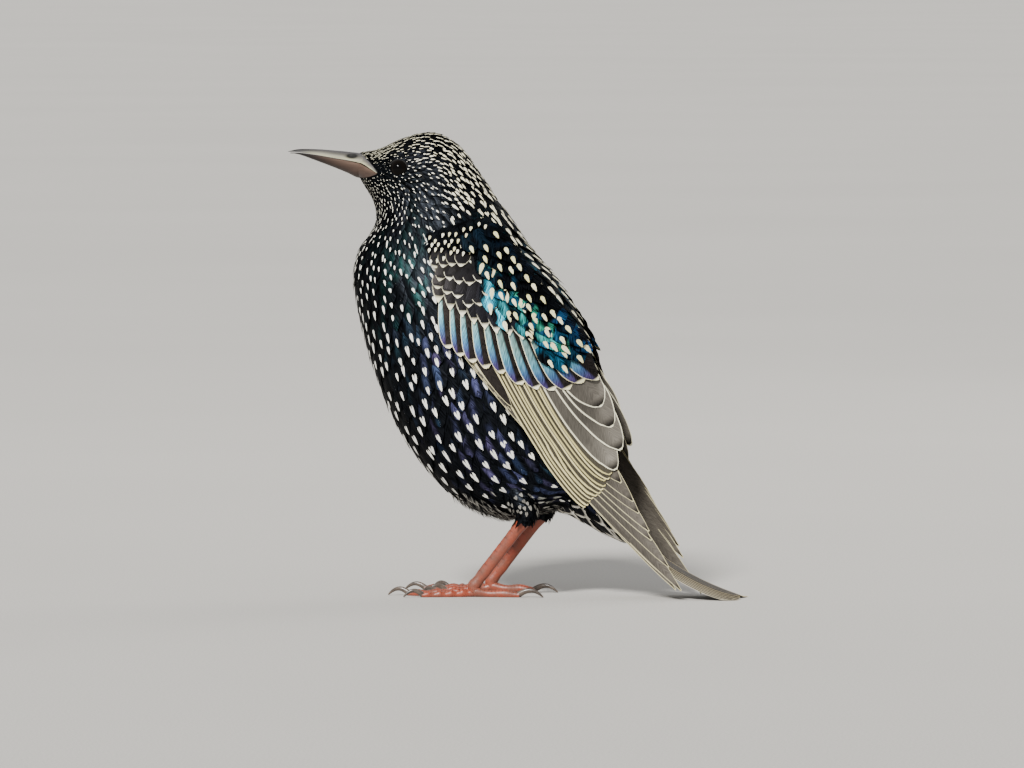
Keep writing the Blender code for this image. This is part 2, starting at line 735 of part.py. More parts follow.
def claw_rise(along):
    """Height of a claw's arch over its root, at a share of its length."""
    return 1.9 * math.sin(math.pi * min(along * 1.05, 1)) * (1 - 0.3 * along)


def build_tarsus(ankle, ball, axis):
    """The bare shank, deeper than wide, with a row of raised scutes down its front."""
    scutes, sides = 7, 10
    count = 2 * scutes + 1
    down = np.linspace(0, 1, count)
    reach = np.linalg.norm(ball - ankle) - FOOT_STUB - GAP
    front = np.array((axis[2], 0.0, -axis[0]))
    phi = np.arange(sides) * 2 * math.pi / sides
    ahead = np.clip(np.cos(phi), 0, 1) ** 0.5
    rings = []
    for i, d in enumerate(down):
        swell = 0.55 * math.exp(-((d / 0.12) ** 2)) + 0.15 * float(smoothstep((d - 0.75) / 0.25))
        plate = 0.16 * (i % 2) * ahead
        deep = (TARSUS_DEPTH / 2 + swell + plate) * np.cos(phi)
        wide = (TARSUS_WIDTH / 2 + swell * 0.8 + plate * 0.5) * np.sin(phi)
        centre = ankle + axis * reach * d
        rings.append(centre + deep[:, None] * front + wide[:, None] * np.array((0.0, 1.0, 0.0)))
    return lofted("tarsus_left", rings)


def build_leg(torso_cutter):
    """Feathered thigh, scaled tarsus, foot with four toes, and four claws, for the left side."""
    ankle, ball, axis = leg_line()
    made = {}
    hock = ankle - axis * 2.6
    thigh_line = line(((-9.0, -11.0, 41.0), (-1.0, -11.8, 36.0), (3.8, -LEG_OUT, 30.6), tuple(hock)), 6)
    thigh_line = np.vstack((thigh_line, ankle - axis * GAP))
    thigh = tube("thigh_left", thigh_line, (8.2, 8.0, 7.2, 5.8, 4.4, 3.2, 2.4), 4)
    made["thigh_left"] = combined(thigh, [torso_cutter], "DIFFERENCE")
    made["tarsus_left"] = build_tarsus(ankle, ball, axis)
    toes, claws = [], {}
    neck_points = [ball - axis * FOOT_STUB * s for s in (1.0, 0.5, 0.0)] + [ball + np.array((0.2, 0, -1.9))]
    toes.append(tube("foot_left", neck_points, (1.55, 1.75, 2.0, 1.8), 2))
    plan = {  # direction in degrees from straight ahead, length, claw length, radius
        "inner": (-24.0, 15.0, 6.2, 1.15),
        "middle": (-2.0, 21.5, 7.0, 1.25),
        "outer": (20.0, 16.5, 6.2, 1.15),
        "hind": (184.0, 14.5, 8.2, 1.35),
    }
    for toe, (degrees, length, claw, radius) in plan.items():
        heading = math.radians(degrees)
        way = np.array((-math.cos(heading), -math.sin(heading), 0.0))
        knuckles = {"inner": 2, "middle": 3, "outer": 4, "hind": 1}[toe]
        steps = 2 * knuckles + 3
        at = np.linspace(0, 1, steps)
        pads = 1 + 0.16 * np.cos(2 * math.pi * at * (knuckles + 0.5)) * (at > 0.05)
        size = radius * (1.12 - 0.32 * at) * pads
        base = np.array((ball[0], ball[1], 0))
        rise = 0.66 * size + 0.5 * (1 - at) ** 3
        line_points = [base + way * length * a + np.array((0, 0, r)) for a, r in zip(at, rise)]
        toes.append(tube(f"toe_{toe}_left", line_points, size, 2))
        curl = np.linspace(0, 1, 6)
        end = base + way * (length + GAP)
        high = rise[-1]
        claw_points = [end + np.array((0, 0, high))] + [
            end + way * (0.6 + (claw - 0.6) * c * (1 - 0.12 * c**3))
            + np.array((0, 0, high + claw_rise(c) - (high - 0.25) * c**2))
            for c in curl
        ]
        curl = np.insert(curl, 0, 0.0)
        claws[f"claw_{toe}_left"] = tube(
            f"claw_{toe}_left", claw_points, 0.95 * (1 - curl) ** 0.75 * size[-1] + 0.22, 1
        )
    foot = combined(toes[0], toes[1:], "UNION")
    laid_on_floor(foot)
    made["foot_left"] = foot
    for name, claw in claws.items():
        laid_on_floor(claw)
        made[name] = claw
    return made


def finish_nodes(nodes, materials, slots):
    """Gives each node its name, material and shading, and moves the whole bird into its frame."""
    shift = Matrix.Translation((SHIFT_X * MM, 0, 0))
    collection = bpy.data.collections.new("starling")
    bpy.context.scene.collection.children.link(collection)
    for name, obj in nodes.items():
        obj.name = name
        obj.data.name = name
        obj.data.transform(shift @ obj.matrix_world)
        obj.matrix_world = Matrix.Identity(4)
        obj.data.materials.clear()
        obj.data.materials.append(materials[slots(name)])
        obj.data.shade_smooth()
        obj.data.set_sharp_from_angle(angle=math.radians(35))
        for holder in list(obj.users_collection):
            holder.objects.unlink(obj)
        collection.objects.link(obj)


def slot_of(name):
    for start, slot in {
        "wing": "wing_feather",
        "tail": "tail_feather",
        "bill": "bill_horn",
        "eye": "eye_dark",
        "tarsus": "leg_skin",
        "foot": "leg_skin",
        "claw": "claw_horn",
    }.items():
        if name.startswith(start):
            return slot
    return "plumage"


def main():
    clear_scene()
    materials = make_materials()
    nodes = build_trunk()
    nodes["head"], eyes = build_head(nodes["head"])
    nodes.update(eyes)
    nodes.update(build_bill())
    nodes.update(build_wing())
    nodes.update(build_tail())
    first = NAMES.index("neck")
    swollen = [trunk_ring(at, 26, GAP + 0.15) for at in np.linspace(first, len(TABLE) - 1, 26)]
    left = build_leg(lofted("torso_room", swollen))
    for name, obj in left.items():
        nodes[name] = obj
        nodes[name.replace("_left", "_right")] = mirrored(obj, name.replace("_left", "_right"))
    finish_nodes(nodes, materials, slot_of)


main()
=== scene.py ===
"""A starling in its spotted winter dress: plumage, bill, eyes and legs over a fixed frame of solids.

The bird faces -X, its left side is towards -Y and the floor is z = 0. Lengths are in millimetres
until a mesh is made. Each feather is a closed vane: a grid of two parameters, one along the shaft
and one across the web, laid on the surface that it grows from.
"""

from __future__ import annotations

import logging
import math
from dataclasses import dataclass, field, replace
from enum import Enum
from functools import partial
from typing import Any, Callable, ClassVar, Sequence

import bpy
import numpy as np
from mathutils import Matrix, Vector

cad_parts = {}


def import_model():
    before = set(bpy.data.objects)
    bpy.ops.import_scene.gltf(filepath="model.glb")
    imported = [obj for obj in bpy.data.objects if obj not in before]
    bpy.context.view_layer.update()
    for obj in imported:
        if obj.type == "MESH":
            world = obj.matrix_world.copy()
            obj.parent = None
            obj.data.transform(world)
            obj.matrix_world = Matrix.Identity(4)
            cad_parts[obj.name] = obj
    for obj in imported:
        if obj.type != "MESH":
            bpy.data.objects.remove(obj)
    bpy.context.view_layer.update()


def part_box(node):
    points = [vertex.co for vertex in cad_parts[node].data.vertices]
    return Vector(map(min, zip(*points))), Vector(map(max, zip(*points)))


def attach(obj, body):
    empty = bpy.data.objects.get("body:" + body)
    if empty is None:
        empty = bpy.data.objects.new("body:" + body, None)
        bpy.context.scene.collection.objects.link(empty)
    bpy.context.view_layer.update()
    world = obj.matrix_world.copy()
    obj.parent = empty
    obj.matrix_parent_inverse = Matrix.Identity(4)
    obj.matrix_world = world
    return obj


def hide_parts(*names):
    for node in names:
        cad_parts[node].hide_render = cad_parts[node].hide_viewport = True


LOG = logging.getLogger("starling")
MM = 0.001
TURN = 2 * math.pi
GOLDEN = 0.6180339887
BODY = "root"
SHIFT_X = 1.05  # the solids' own step along X, which centres their box over the origin
PATCH = 0.003  # side of one feather's patch on the skin's unwrap
MAP_MM = 100.0  # millimetres in one unit of the maps web and edge
Y_AXIS, UP = np.array((0.0, 1.0, 0.0)), np.array((0.0, 0.0, 1.0))

Array = np.ndarray
Place = Callable[[Array, Array, Array], Array]
Node = Callable[..., Any]
Pair = tuple[float, float]
Row = tuple[float, ...]
Line = tuple[Row, ...]


class Side(Enum):
    """A side of the bird, with the sign of its Y coordinate."""

    LEFT = -1
    RIGHT = 1

    @property
    def word(self) -> str:
        """The side's name, as the nodes use it."""
        return self.name.lower()


# Numbers and curves


def smoothstep(x: Array | float) -> Array:
    """Cubic ease from 0 to 1: three x squared less two x cubed, held outside that range."""
    x = np.clip(x, 0, 1)
    return x * x * (3 - 2 * x)


def bell(x: Array, middle: float, width: float) -> Array:
    """Bell curve: e to the minus square of the distance from its middle over its width."""
    return np.exp(-(((x - middle) / width) ** 2))


def together(*values: Array | float) -> list[Array]:
    """The values as arrays of one common shape."""
    return np.broadcast_arrays(*(np.asarray(v, float) for v in values))


def hermite(table: Array, at: Array) -> Array:
    """Smooth curve through the rows of a table, read at row numbers with fractions.

    Each stretch is the cubic that meets both rows with slopes taken from their neighbours.

    Args:
        table: Rows to pass through, one per station.
        at: Station numbers, of any shape.

    Returns:
        The rows between, with the shape of `at` and one more axis.
    """
    table = np.asarray(table, float)
    at = np.clip(np.asarray(at, float), 0, len(table) - 1)
    low = np.minimum(at.astype(int), len(table) - 2)
    t = (at - low)[..., None]
    slope = np.gradient(table, axis=0)
    p0, p1, m0, m1 = table[low], table[low + 1], slope[low], slope[low + 1]
    ends = (2 * t**3 - 3 * t**2 + 1) * p0 + (t**3 - 2 * t**2 + t) * m0
    return ends + (3 * t**2 - 2 * t**3) * p1 + (t**3 - t**2) * m1


def curve_at(points: Sequence[Sequence[float]], share: Array) -> Array:
    """Places on the smooth curve through a few points, by share of the way."""
    return hermite(points, share * (len(points) - 1))


def srgb(code: str) -> Array:
    """Turns an sRGB hex colour into the linear red, green and blue that shaders take."""
    parts = np.array([int(code[i : i + 2], 16) / 255 for i in (0, 2, 4)])
    return np.where(parts <= 0.04045, parts / 12.92, ((parts + 0.055) / 1.055) ** 2.4)


def mixed(first: Array | str, second: Array | str, share: Array) -> Array:
    """Straight mix of two colours, or hex codes, by a share for each feather.

    Args:
        first: Colour at share 0, one or one for each feather.
        second: Colour at share 1.
        share: The shares, which are held between 0 and 1.

    Returns:
        One colour for each feather.
    """
    first, second = (srgb(c) if isinstance(c, str) else c for c in (first, second))
    share = np.clip(share, 0, 1)[:, None]
    return first * (1 - share) + second * share


# Meshes


def quad_mesh(name: str, points: Array, quads: Array) -> bpy.types.Mesh:
    """Puts an array of points and faces into a mesh.

    Args:
        name: The mesh's name.
        points: Corner positions in millimetres, one row each.
        quads: Four point numbers for each face; a repeated one makes a triangle.

    Returns:
        The mesh, in metres, with its faces pointing outwards: the sum of the signed volumes
        between the faces and the origin is positive.
    """
    p = points[quads]
    cones = np.cross(p[:, 1], p[:, 2]) + np.cross(p[:, 2], p[:, 3])
    if (p[:, 0] * cones).sum() < 0:
        quads = quads[:, [0, 3, 2, 1]]
    mesh = bpy.data.meshes.new(name)
    faces = [tuple(dict.fromkeys(face)) for face in quads.tolist()]
    mesh.from_pydata((points * MM + (SHIFT_X * MM, 0, 0)).tolist(), [], faces)
    return mesh


def grid_quads(rows: int, columns: int, closed: bool) -> Array:
    """Faces of a grid of points, whose columns may run round and meet.

    Args:
        rows: Points along the first parameter.
        columns: Points along the second.
        closed: Whether the last column joins the first.

    Returns:
        Point numbers, four for each face.
    """
    i = np.arange(rows - 1)[:, None] * columns
    j = np.arange(columns if closed else columns - 1)
    k = (j + 1) % columns
    return np.stack((i + j, i + k, i + columns + k, i + columns + j), -1).reshape(-1, 4)


def tube_mesh(name: str, rings: Array) -> bpy.types.Mesh:
    """A closed surface through rings of points, with a fan over each end.

    Args:
        name: The mesh's name.
        rings: Array of ring, point and coordinate, in millimetres.

    Returns:
        The mesh.
    """
    count, sides = rings.shape[:2]
    j = np.arange(sides)
    k, base = (j + 1) % sides, (count - 1) * sides
    first = np.full(sides, count * sides)
    last = first + 1
    start = np.stack((first, k, j, first), -1)
    end = np.stack((last, base + j, base + k, last), -1)
    points = np.vstack((rings.reshape(-1, 3), rings[0].mean(0), rings[-1].mean(0)))
    return quad_mesh(name, points, np.vstack((grid_quads(count, sides, True), start, end)))


def swept(centres: Array, front: Array, side: Array, deep: Array, wide: Array, sides: int) -> Array:
    """Rings of ellipses carried along a path.

    A point is the ring's middle, plus the first radius by the cosine of its angle along `front`,
    plus the second radius by the sine along `side`.

    Args:
        centres: Middle of each ring.
        front: Direction of the first radius, one or one for each ring.
        side: Direction of the second radius.
        deep: First radius, for each ring or each point.
        wide: Second radius.
        sides: Points in a ring.

    Returns:
        Array of ring, point and coordinate.
    """
    phi = np.arange(sides) * TURN / sides
    front, side = (np.broadcast_to(v, centres.shape)[:, None] for v in (front, side))
    rings = centres[:, None] + (deep * np.cos(phi))[..., None] * front
    return rings + (wide * np.sin(phi))[..., None] * side


def write_values(mesh: bpy.types.Mesh, name: str, values: Array) -> None:
    """Stores one number, or one colour, for each point of a mesh.

    Args:
        mesh: The mesh to write to.
        name: The attribute's name.
        values: One value a point, or three for a colour.
    """
    values = np.asarray(values, np.float32)
    if values.ndim == 1:
        mesh.attributes.new(name, "FLOAT", "POINT").data.foreach_set("value", values)
        return
    colours = np.column_stack((values, np.ones(len(values), np.float32)))
    mesh.attributes.new(name, "FLOAT_COLOR", "POINT").data.foreach_set("color", colours.ravel())


def write_rings(mesh: bpy.types.Mesh, **values: Array) -> None:
    """Stores a tube's values, given ring by ring; an end point takes the mean of its ring."""
    for name, rings in values.items():
        write_values(mesh, name, np.concatenate((rings.ravel(), (rings[0].mean(), rings[-1].mean()))))


def write_map(mesh: bpy.types.Mesh, name: str, places: Array) -> None:
    """Stores a flat map, given for each point, on the corners of a mesh.

    Args:
        mesh: The mesh to write to.
        name: The map's name.
        places: Two numbers for each point.
    """
    corner = np.empty(len(mesh.loops), np.int32)
    mesh.loops.foreach_get("vertex_index", corner)
    layer = mesh.uv_layers.new(name=name, do_init=False)
    layer.data.foreach_set("uv", np.asarray(places, np.float32)[corner].ravel())


def show(
    mesh: bpy.types.Mesh, material: bpy.types.Material, replaces: Sequence[str] = (),
    sharp_deg: float = 50.0,
) -> None:
    """Makes a piece of a mesh: its finish, shading, body and the nodes that it stands for.

    Args:
        mesh: The finished mesh.
        material: Its finish.
        replaces: Solids that this piece stands for.
        sharp_deg: Edges that turn by more than this stay crisp.
    """
    mesh.materials.append(material)
    mesh.shade_smooth()
    mesh.set_sharp_from_angle(angle=math.radians(sharp_deg))
    piece = bpy.data.objects.new(mesh.name, mesh)
    bpy.context.scene.collection.objects.link(piece)
    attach(piece, BODY)
    if replaces:
        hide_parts(*replaces)
    LOG.info("%s: %d faces", mesh.name, len(mesh.polygons))


def ring_grid(first: Array, sides: int) -> tuple[Array, Array]:
    """Two grids, of a tube's first coordinate and of the angle round it, by ring and point."""
    grid = np.meshgrid(first, np.arange(sides) * TURN / sides, indexing="ij")
    return grid[0], grid[1]


# Surfaces of the body


def off_belly(phi: Array) -> Array:
    """Angle from the belly's midline, the same on both sides."""
    return np.minimum(phi, TURN - phi)


@dataclass(frozen=True)
class Trunk:
    """Head, neck and torso as one loft of egg-shaped sections, the head turned to the left.

    Each station gives the ventral x and z, the dorsal x and z, and the half-width. The last two
    follow the tail's flesh, so that the coat's last tips have a surface to lie on.
    """

    stations: Line = (
        (-52.1, 131.2, -52.4, 139.1, 4.2), (-50.2, 128.2, -45.8, 140.3, 7.6),
        (-48.0, 124.4, -37.3, 144.0, 9.8), (-46.9, 120.6, -28.5, 145.5, 11.0),
        (-47.0, 116.9, -20.3, 141.4, 12.2), (-49.2, 112.8, -13.6, 132.6, 14.0),
        (-52.7, 107.7, -6.8, 122.2, 16.8), (-54.3, 99.5, -0.3, 109.9, 20.6),
        (-52.7, 89.1, 10.3, 97.7, 23.0), (-49.2, 75.0, 18.1, 83.2, 23.6),
        (-43.7, 60.2, 22.6, 68.4, 23.0), (-35.6, 45.4, 25.5, 55.1, 21.0),
        (-22.3, 30.9, 26.8, 46.3, 17.4), (-5.2, 23.6, 26.2, 42.5, 13.4),
        (12.0, 26.8, 24.3, 40.3, 9.5), (19.6, 23.5, 30.0, 32.2, 8.3),
        (28.8, 19.0, 34.2, 24.3, 7.2),
    )
    pear: float = 0.15
    turn_deg: float = 13.0
    pivot: Pair = (-29.4, 0.0)

    @property
    def last(self) -> float:
        """Number of the station at the tail's root."""
        return len(self.stations) - 3.0

    def turned(self, points: Array, share: Array | float = 1.0) -> Array:
        """Turns points about the upright axis through the neck.

        Args:
            points: Places, with x, y and z last.
            share: How much of the head's turn each takes.

        Returns:
            The turned places.
        """
        angle = math.radians(self.turn_deg) * np.asarray(share, float)
        x, y, z = np.moveaxis(np.asarray(points, float), -1, 0)
        x, y, cos, sin = x - self.pivot[0], y - self.pivot[1], np.cos(angle), np.sin(angle)
        return np.stack((self.pivot[0] + x * cos - y * sin, self.pivot[1] + x * sin + y * cos, z), -1)

    def point(self, at: Array, phi: Array, height: Array) -> Array:
        """A place on the trunk: station number, angle from the belly's midline, and height.

        The side view of a section is a straight span from belly to back, read by the cosine of
        the angle; its width follows the sine, fuller towards the belly.

        Args:
            at: Station number from the bill to the tail's root.
            phi: Angle round the section in radians; the left side comes first.
            height: Distance off the solids' surface.

        Returns:
            Places in millimetres.
        """
        at, phi, height = together(at, phi, height)
        rows = hermite(self.stations, at)
        ventral, dorsal, half = rows[..., 0:2], rows[..., 2:4], rows[..., 4]
        up = dorsal - ventral
        up = up / np.linalg.norm(up, axis=-1, keepdims=True) * height[..., None]
        ventral, dorsal = ventral - up, dorsal + up
        side = ventral + (dorsal - ventral) * ((1 - np.cos(phi)) / 2)[..., None]
        y = -(half + height) * np.sin(phi) * (1 + self.pear * np.cos(phi))
        points = np.stack((side[..., 0], y, side[..., 1]), -1)
        return self.turned(points, 1 - smoothstep((at - 3.2) / 4.3))

    def unwrap(self, at: Array, phi: Array) -> Array:
        """The skin's own unwrap: angle across, station number up, both as shares of one."""
        return np.stack((phi / TURN, at / self.last), -1)

    def flank(self, x: Array, z: Array, grow: float, back: float) -> Array:
        """Half-width of the trunk at places of the side view, from the neck to the tail's root.

        The station whose span passes through a place is found where the place changes from one
        side of the spans to the other; the section's width formula then gives the distance.

        Args:
            x: Side-view x of each place.
            z: Side-view z of each place.
            grow: Clearance off the sides and belly.
            back: Clearance off the back.

        Returns:
            Distance from the middle plane, zero outside the trunk.
        """
        rows = hermite(self.stations, np.linspace(6, self.last, 260))
        ventral, dorsal, half = rows[:, 0:2], rows[:, 2:4], rows[:, 4:5]
        up = (dorsal - ventral) / np.linalg.norm(dorsal - ventral, axis=1)[:, None]
        ventral = ventral - up * grow
        span = dorsal + up * back - ventral
        p = np.stack((np.ravel(x), np.ravel(z)), axis=1)
        rel = p[:, None, :] - ventral[None]
        cross = span[None, :, 0] * rel[..., 1] - span[None, :, 1] * rel[..., 0]
        crossed = (cross[:, :-1] > 0) != (cross[:, 1:] > 0)
        found, j, row = crossed.any(axis=1), crossed.argmax(axis=1), np.arange(len(p))
        c0, c1 = cross[row, j], cross[row, j + 1]
        f = np.where(found, c0 / np.where(c0 == c1, 1, c0 - c1), 0)[:, None]
        v, s, w = (table[j] * (1 - f) + table[j + 1] * f for table in (ventral, span, half))
        cosine = np.clip(1 - 2 * ((p - v) * s).sum(1) / (s * s).sum(1), -1, 1)
        out = (w[:, 0] + grow) * np.sqrt(1 - cosine**2) * (1 + self.pear * cosine)
        return np.where(found, out, 0).reshape(np.shape(x))


@dataclass(frozen=True)
class WingFace:
    """The wing's inner face: it follows the flank, then runs on as a blade to the tip."""

    trunk: Trunk
    wrist: Pair = (-15.3, 78.3)
    tip: Pair = (52.7, 2.8)
    along: Row = (0.0, 45.0, 60.0, 80.0, 101.0)
    reach: Row = (18.0, 17.4, 15.2, 13.6, 12.6)
    slope: Row = (0.65, 0.65, 0.60, 0.28, 0.0)

    def out(self, x: Array, z: Array) -> Array:
        """Sideways distance of the face: the larger of flank and blade, rounded where they meet.

        Args:
            x: Side-view x of each place.
            z: Side-view z of each place.

        Returns:
            Distance from the middle plane.
        """
        start = np.array(self.wrist)
        axis = np.array(self.tip) - start
        axis = axis / np.linalg.norm(axis)
        rel = np.stack(together(x, z), -1) - start
        a, b = rel @ axis, np.maximum(rel @ np.array((-axis[1], axis[0])), 0)
        blade = np.interp(a, self.along, self.reach) - np.interp(a, self.along, self.slope) * b
        blade = np.maximum(blade, 2.2)
        body = self.trunk.flank(x, z, 0.65, 1.6)
        return 0.5 * (body + blade + np.sqrt((body - blade) ** 2 + 1.2**2))

    def point(self, side: Side, x: Array, z: Array, height: Array) -> Array:
        """A place on one wing, square to its inner face.

        Args:
            side: Which wing.
            x: Side-view x.
            z: Side-view z.
            height: Distance off the inner face.

        Returns:
            Places in millimetres.
        """
        step = 0.6
        slope_x = (self.out(x + step, z) - self.out(x - step, z)) / (2 * step)
        slope_z = (self.out(x, z + step) - self.out(x, z - step)) / (2 * step)
        slope_x, slope_z = np.clip(slope_x, -2.2, 2.2), np.clip(slope_z, -2.2, 2.2)
        lift = height / np.sqrt(1 + slope_x**2 + slope_z**2)
        return np.stack((x - lift * slope_x, side.value * (self.out(x, z) + lift), z - lift * slope_z), -1)


@dataclass(frozen=True)
class TailLine:
    """The tail's curve, from the torso's end down to the floor, and the flesh round its root."""

    root: Pair = (20.1, 35.7)
    length: float = 65.0
    knots_at: Row = (0.0, 9.0, 40.0, 65.0)
    knots_deg: Row = (42.4, 50.0, 31.0, 13.5)
    flesh: float = 27.0
    up: float = 6.3
    down: float = 12.0

    def point(self, along: Array, side: Array, rise: Array) -> Array:
        """A place `along` the curve, `side` of its middle and `rise` off it.

        Args:
            along: Length from the torso's end.
            side: Distance from the middle plane, the left negative.
            rise: Distance off the curve, square to it.

        Returns:
            Places in millimetres.
        """
        along, side, rise = together(along, side, rise)
        fine = np.linspace(0, 1.1 * self.length, 200)
        number = np.interp(fine, self.knots_at, range(len(self.knots_at)))
        angle = np.radians(hermite(np.array(self.knots_deg)[:, None], number)[:, 0])
        step = np.diff(fine, prepend=0)
        curve_x = self.root[0] + np.cumsum(np.cos(angle) * step)
        curve_z = self.root[1] - np.cumsum(np.sin(angle) * step)
        here, before = np.interp(along, fine, angle), np.minimum(along, 0)
        x = np.interp(along, fine, curve_x) + rise * np.sin(here) + before * math.cos(angle[0])
        z = np.interp(along, fine, curve_z) + rise * np.cos(here) - before * math.sin(angle[0])
        return np.stack((x, side, z), -1)

    def flesh_point(self, along: Array, phi: Array, height: Array) -> Array:
        """A place on the tail's fleshy root: half ellipses above and below the curve.

        Args:
            along: Length from the torso's end.
            phi: Angle from the underside's midline; the left side comes first.
            height: Distance off the flesh.

        Returns:
            Places in millimetres.
        """
        along, phi, height = together(along, phi, height)
        at = np.clip(along / self.flesh, 0, 1)
        up = self.up * (1 - at) ** 1.2 + 0.7 + height
        down = self.down * (1 - at) ** 0.9 + 0.7 + height
        rise = -np.where(np.cos(phi) > 0, down, up) * np.cos(phi)
        return self.point(along, -(9.1 - 2.9 * at + height) * np.sin(phi), rise)


# Feathers


@dataclass
class Feathers:
    """A set of vanes, as arrays with one row for each feather; one value does for all alike.

    root, tip and side are in the two coordinates of the surface the feathers lie on. side is the
    step from the shaft to the leading edge at full width. extra holds the attributes.
    """

    PAIRS: ClassVar[tuple[str, ...]] = ("root", "tip", "side", "patch")
    SINGLES: ClassVar[tuple[str, ...]] = ("length", "half", "low", "high", "arch", "thick", "point", "tilt")
    COLOURS: ClassVar[tuple[str, ...]] = ("tint", "pale")

    root: Array
    tip: Array
    side: Array
    length: Array
    half: Array
    patch: Array
    low: Array | float
    high: Array | float
    arch: Array | float
    thick: Array | float
    point: Array | float
    extra: dict[str, Array | float]
    tilt: Array | float = 0.0
    shaft: float = 0.0
    widest: float = 0.55
    stem: float = 0.45
    bow: float = 0.0
    curl: float = 0.0
    ridge: float = 0.0
    grid: tuple[int, int] = (7, 5)

    def __post_init__(self) -> None:
        """Gives every feather its own row of each value."""
        n = len(self.root)
        for name in self.SINGLES:
            setattr(self, name, np.broadcast_to(getattr(self, name), n))
        for name, values in self.extra.items():
            self.extra[name] = np.broadcast_to(values, (n, 3) if name in self.COLOURS else n)

    def pick(self, chosen: Array) -> Feathers:
        """The chosen feathers, as a set of their own."""
        rows = {name: getattr(self, name)[chosen] for name in self.PAIRS + self.SINGLES}
        return replace(self, **rows, extra={name: v[chosen] for name, v in self.extra.items()})

    def outline(self, v: Array) -> Array:
        """Share of the full width at each station of each feather.

        The web widens along a quarter sine from the stem to its widest place. From there to the
        tip it is one less a power of the way left, whose exponents run from a round tip to a
        pointed one.

        Args:
            v: Shares of the length, from root to tip.

        Returns:
            Array of feather by station.
        """
        rise = self.stem + (1 - self.stem) * np.sin(np.clip(v / self.widest, 0, 1) * math.pi / 2)
        t = np.clip((v - self.widest) / (1 - self.widest), 0, 1)
        point = self.point[:, None]
        fall = np.clip(1 - t ** (2.2 - 0.9 * point), 0, 1) ** (0.5 + 0.55 * point)
        return np.maximum(rise * fall, 0.07)

    def mesh(self, name: str, place: Place, rng: np.random.Generator, fray: float = 0.03) -> bpy.types.Mesh:
        """Builds all vanes on their surface as closed lenses.

        The top is a grid of stations along the shaft and columns across the web. The underside
        shares the top's rim and hangs below it by the vane's thickness, most at the middle.

        Args:
            name: The mesh's name.
            place: The surface, from two coordinates and a height to places.
            rng: Source of the small unevenness.
            fray: How uneven the rim is, as a share of the length.

        Returns:
            The mesh, with its maps and attributes.
        """
        n, (rows, columns) = len(self.root), self.grid
        v = 1 - (1 - np.linspace(0, 1, rows)) ** 1.35
        u = np.linspace(-1, 1, columns)
        share = self.outline(v)
        ragged = rng.normal(0, fray, (n, rows, columns)) * (v**3)[:, None] * np.abs(u) ** 0.5
        vv = np.clip(v[:, None] * (1 + ragged), 0, 1.03)
        web = (u - self.shaft * (1 - np.abs(u))) * share[:, :, None]
        across = (web + self.bow * np.sin(math.pi * vv))[..., None]
        root, run, side = (w[:, None, None] for w in (self.root, self.tip - self.root, self.side))
        at = root + run * vv[..., None] + side * across
        low, high, tilt, arch, thick = (
            w[:, None, None] for w in (self.low, self.high, self.tilt, self.arch, self.thick)
        )
        rise = low + (high - low) * vv + tilt * web - arch * web**2
        rise = rise - self.curl * np.clip((vv - 0.8) / 0.2, 0, 1) ** 2
        rise = rise + self.ridge * np.exp(-((u + self.shaft) ** 2) / 0.012) * (1 - vv * 0.7)
        sag = thick * (1 - u**2) * np.minimum(4 * vv * (1.02 - vv) + 0.2, 1)
        top = place(at[..., 0], at[..., 1], rise).reshape(n, -1, 3)
        under = place(at[..., 0], at[..., 1], rise - sag)[:, 1:-1, 1:-1].reshape(n, -1, 3)
        points = np.concatenate((top, under), axis=1)
        lower = np.arange(rows * columns).reshape(rows, columns)
        lower[1:-1, 1:-1] = rows * columns + np.arange((rows - 2) * (columns - 2)).reshape(rows - 2, -1)
        quads = grid_quads(rows, columns, False)
        faces = np.vstack((quads, lower.ravel()[quads][:, ::-1]))
        every = (faces + (np.arange(n) * points.shape[1])[:, None, None]).reshape(-1, 4)
        mesh = quad_mesh(name, points.reshape(-1, 3), every)
        self._write(mesh, vv, web, share)
        return mesh

    def _write(self, mesh: bpy.types.Mesh, vv: Array, web: Array, share: Array) -> None:
        """Writes each vane's own coordinates, its tints and its patch on the skin's unwrap.

        Args:
            mesh: The mesh to write to.
            vv: Share of the length at each point.
            web: Signed share of the full width at each point.
            share: The outline at each station.
        """
        n = len(vv)

        def pairs(first: Array, second: Array) -> Array:
            """Two values for the top's points, then for those that only the underside has."""
            grid = np.stack((first, second), -1)
            return np.hstack((grid.reshape(n, -1, 2), grid[:, 1:-1, 1:-1].reshape(n, -1, 2))).reshape(-1, 2)

        half = self.half[:, None, None]
        across, reach = web * half, share[:, :, None] * half
        write_map(mesh, "web", pairs(across, (1 - vv) * self.length[:, None, None]) / MAP_MM)
        write_map(mesh, "edge", pairs(reach - across, reach + across) / MAP_MM)
        patch = pairs(0.5 * web, vv - 0.5) * PATCH
        per = len(patch) // n
        write_map(mesh, "OFBake", np.repeat(self.patch, per, axis=0) + patch)
        for name, values in {**self.extra, "seed": (np.arange(n) * 7.31) % 50.0}.items():
            write_values(mesh, name, np.repeat(values, per, axis=0))


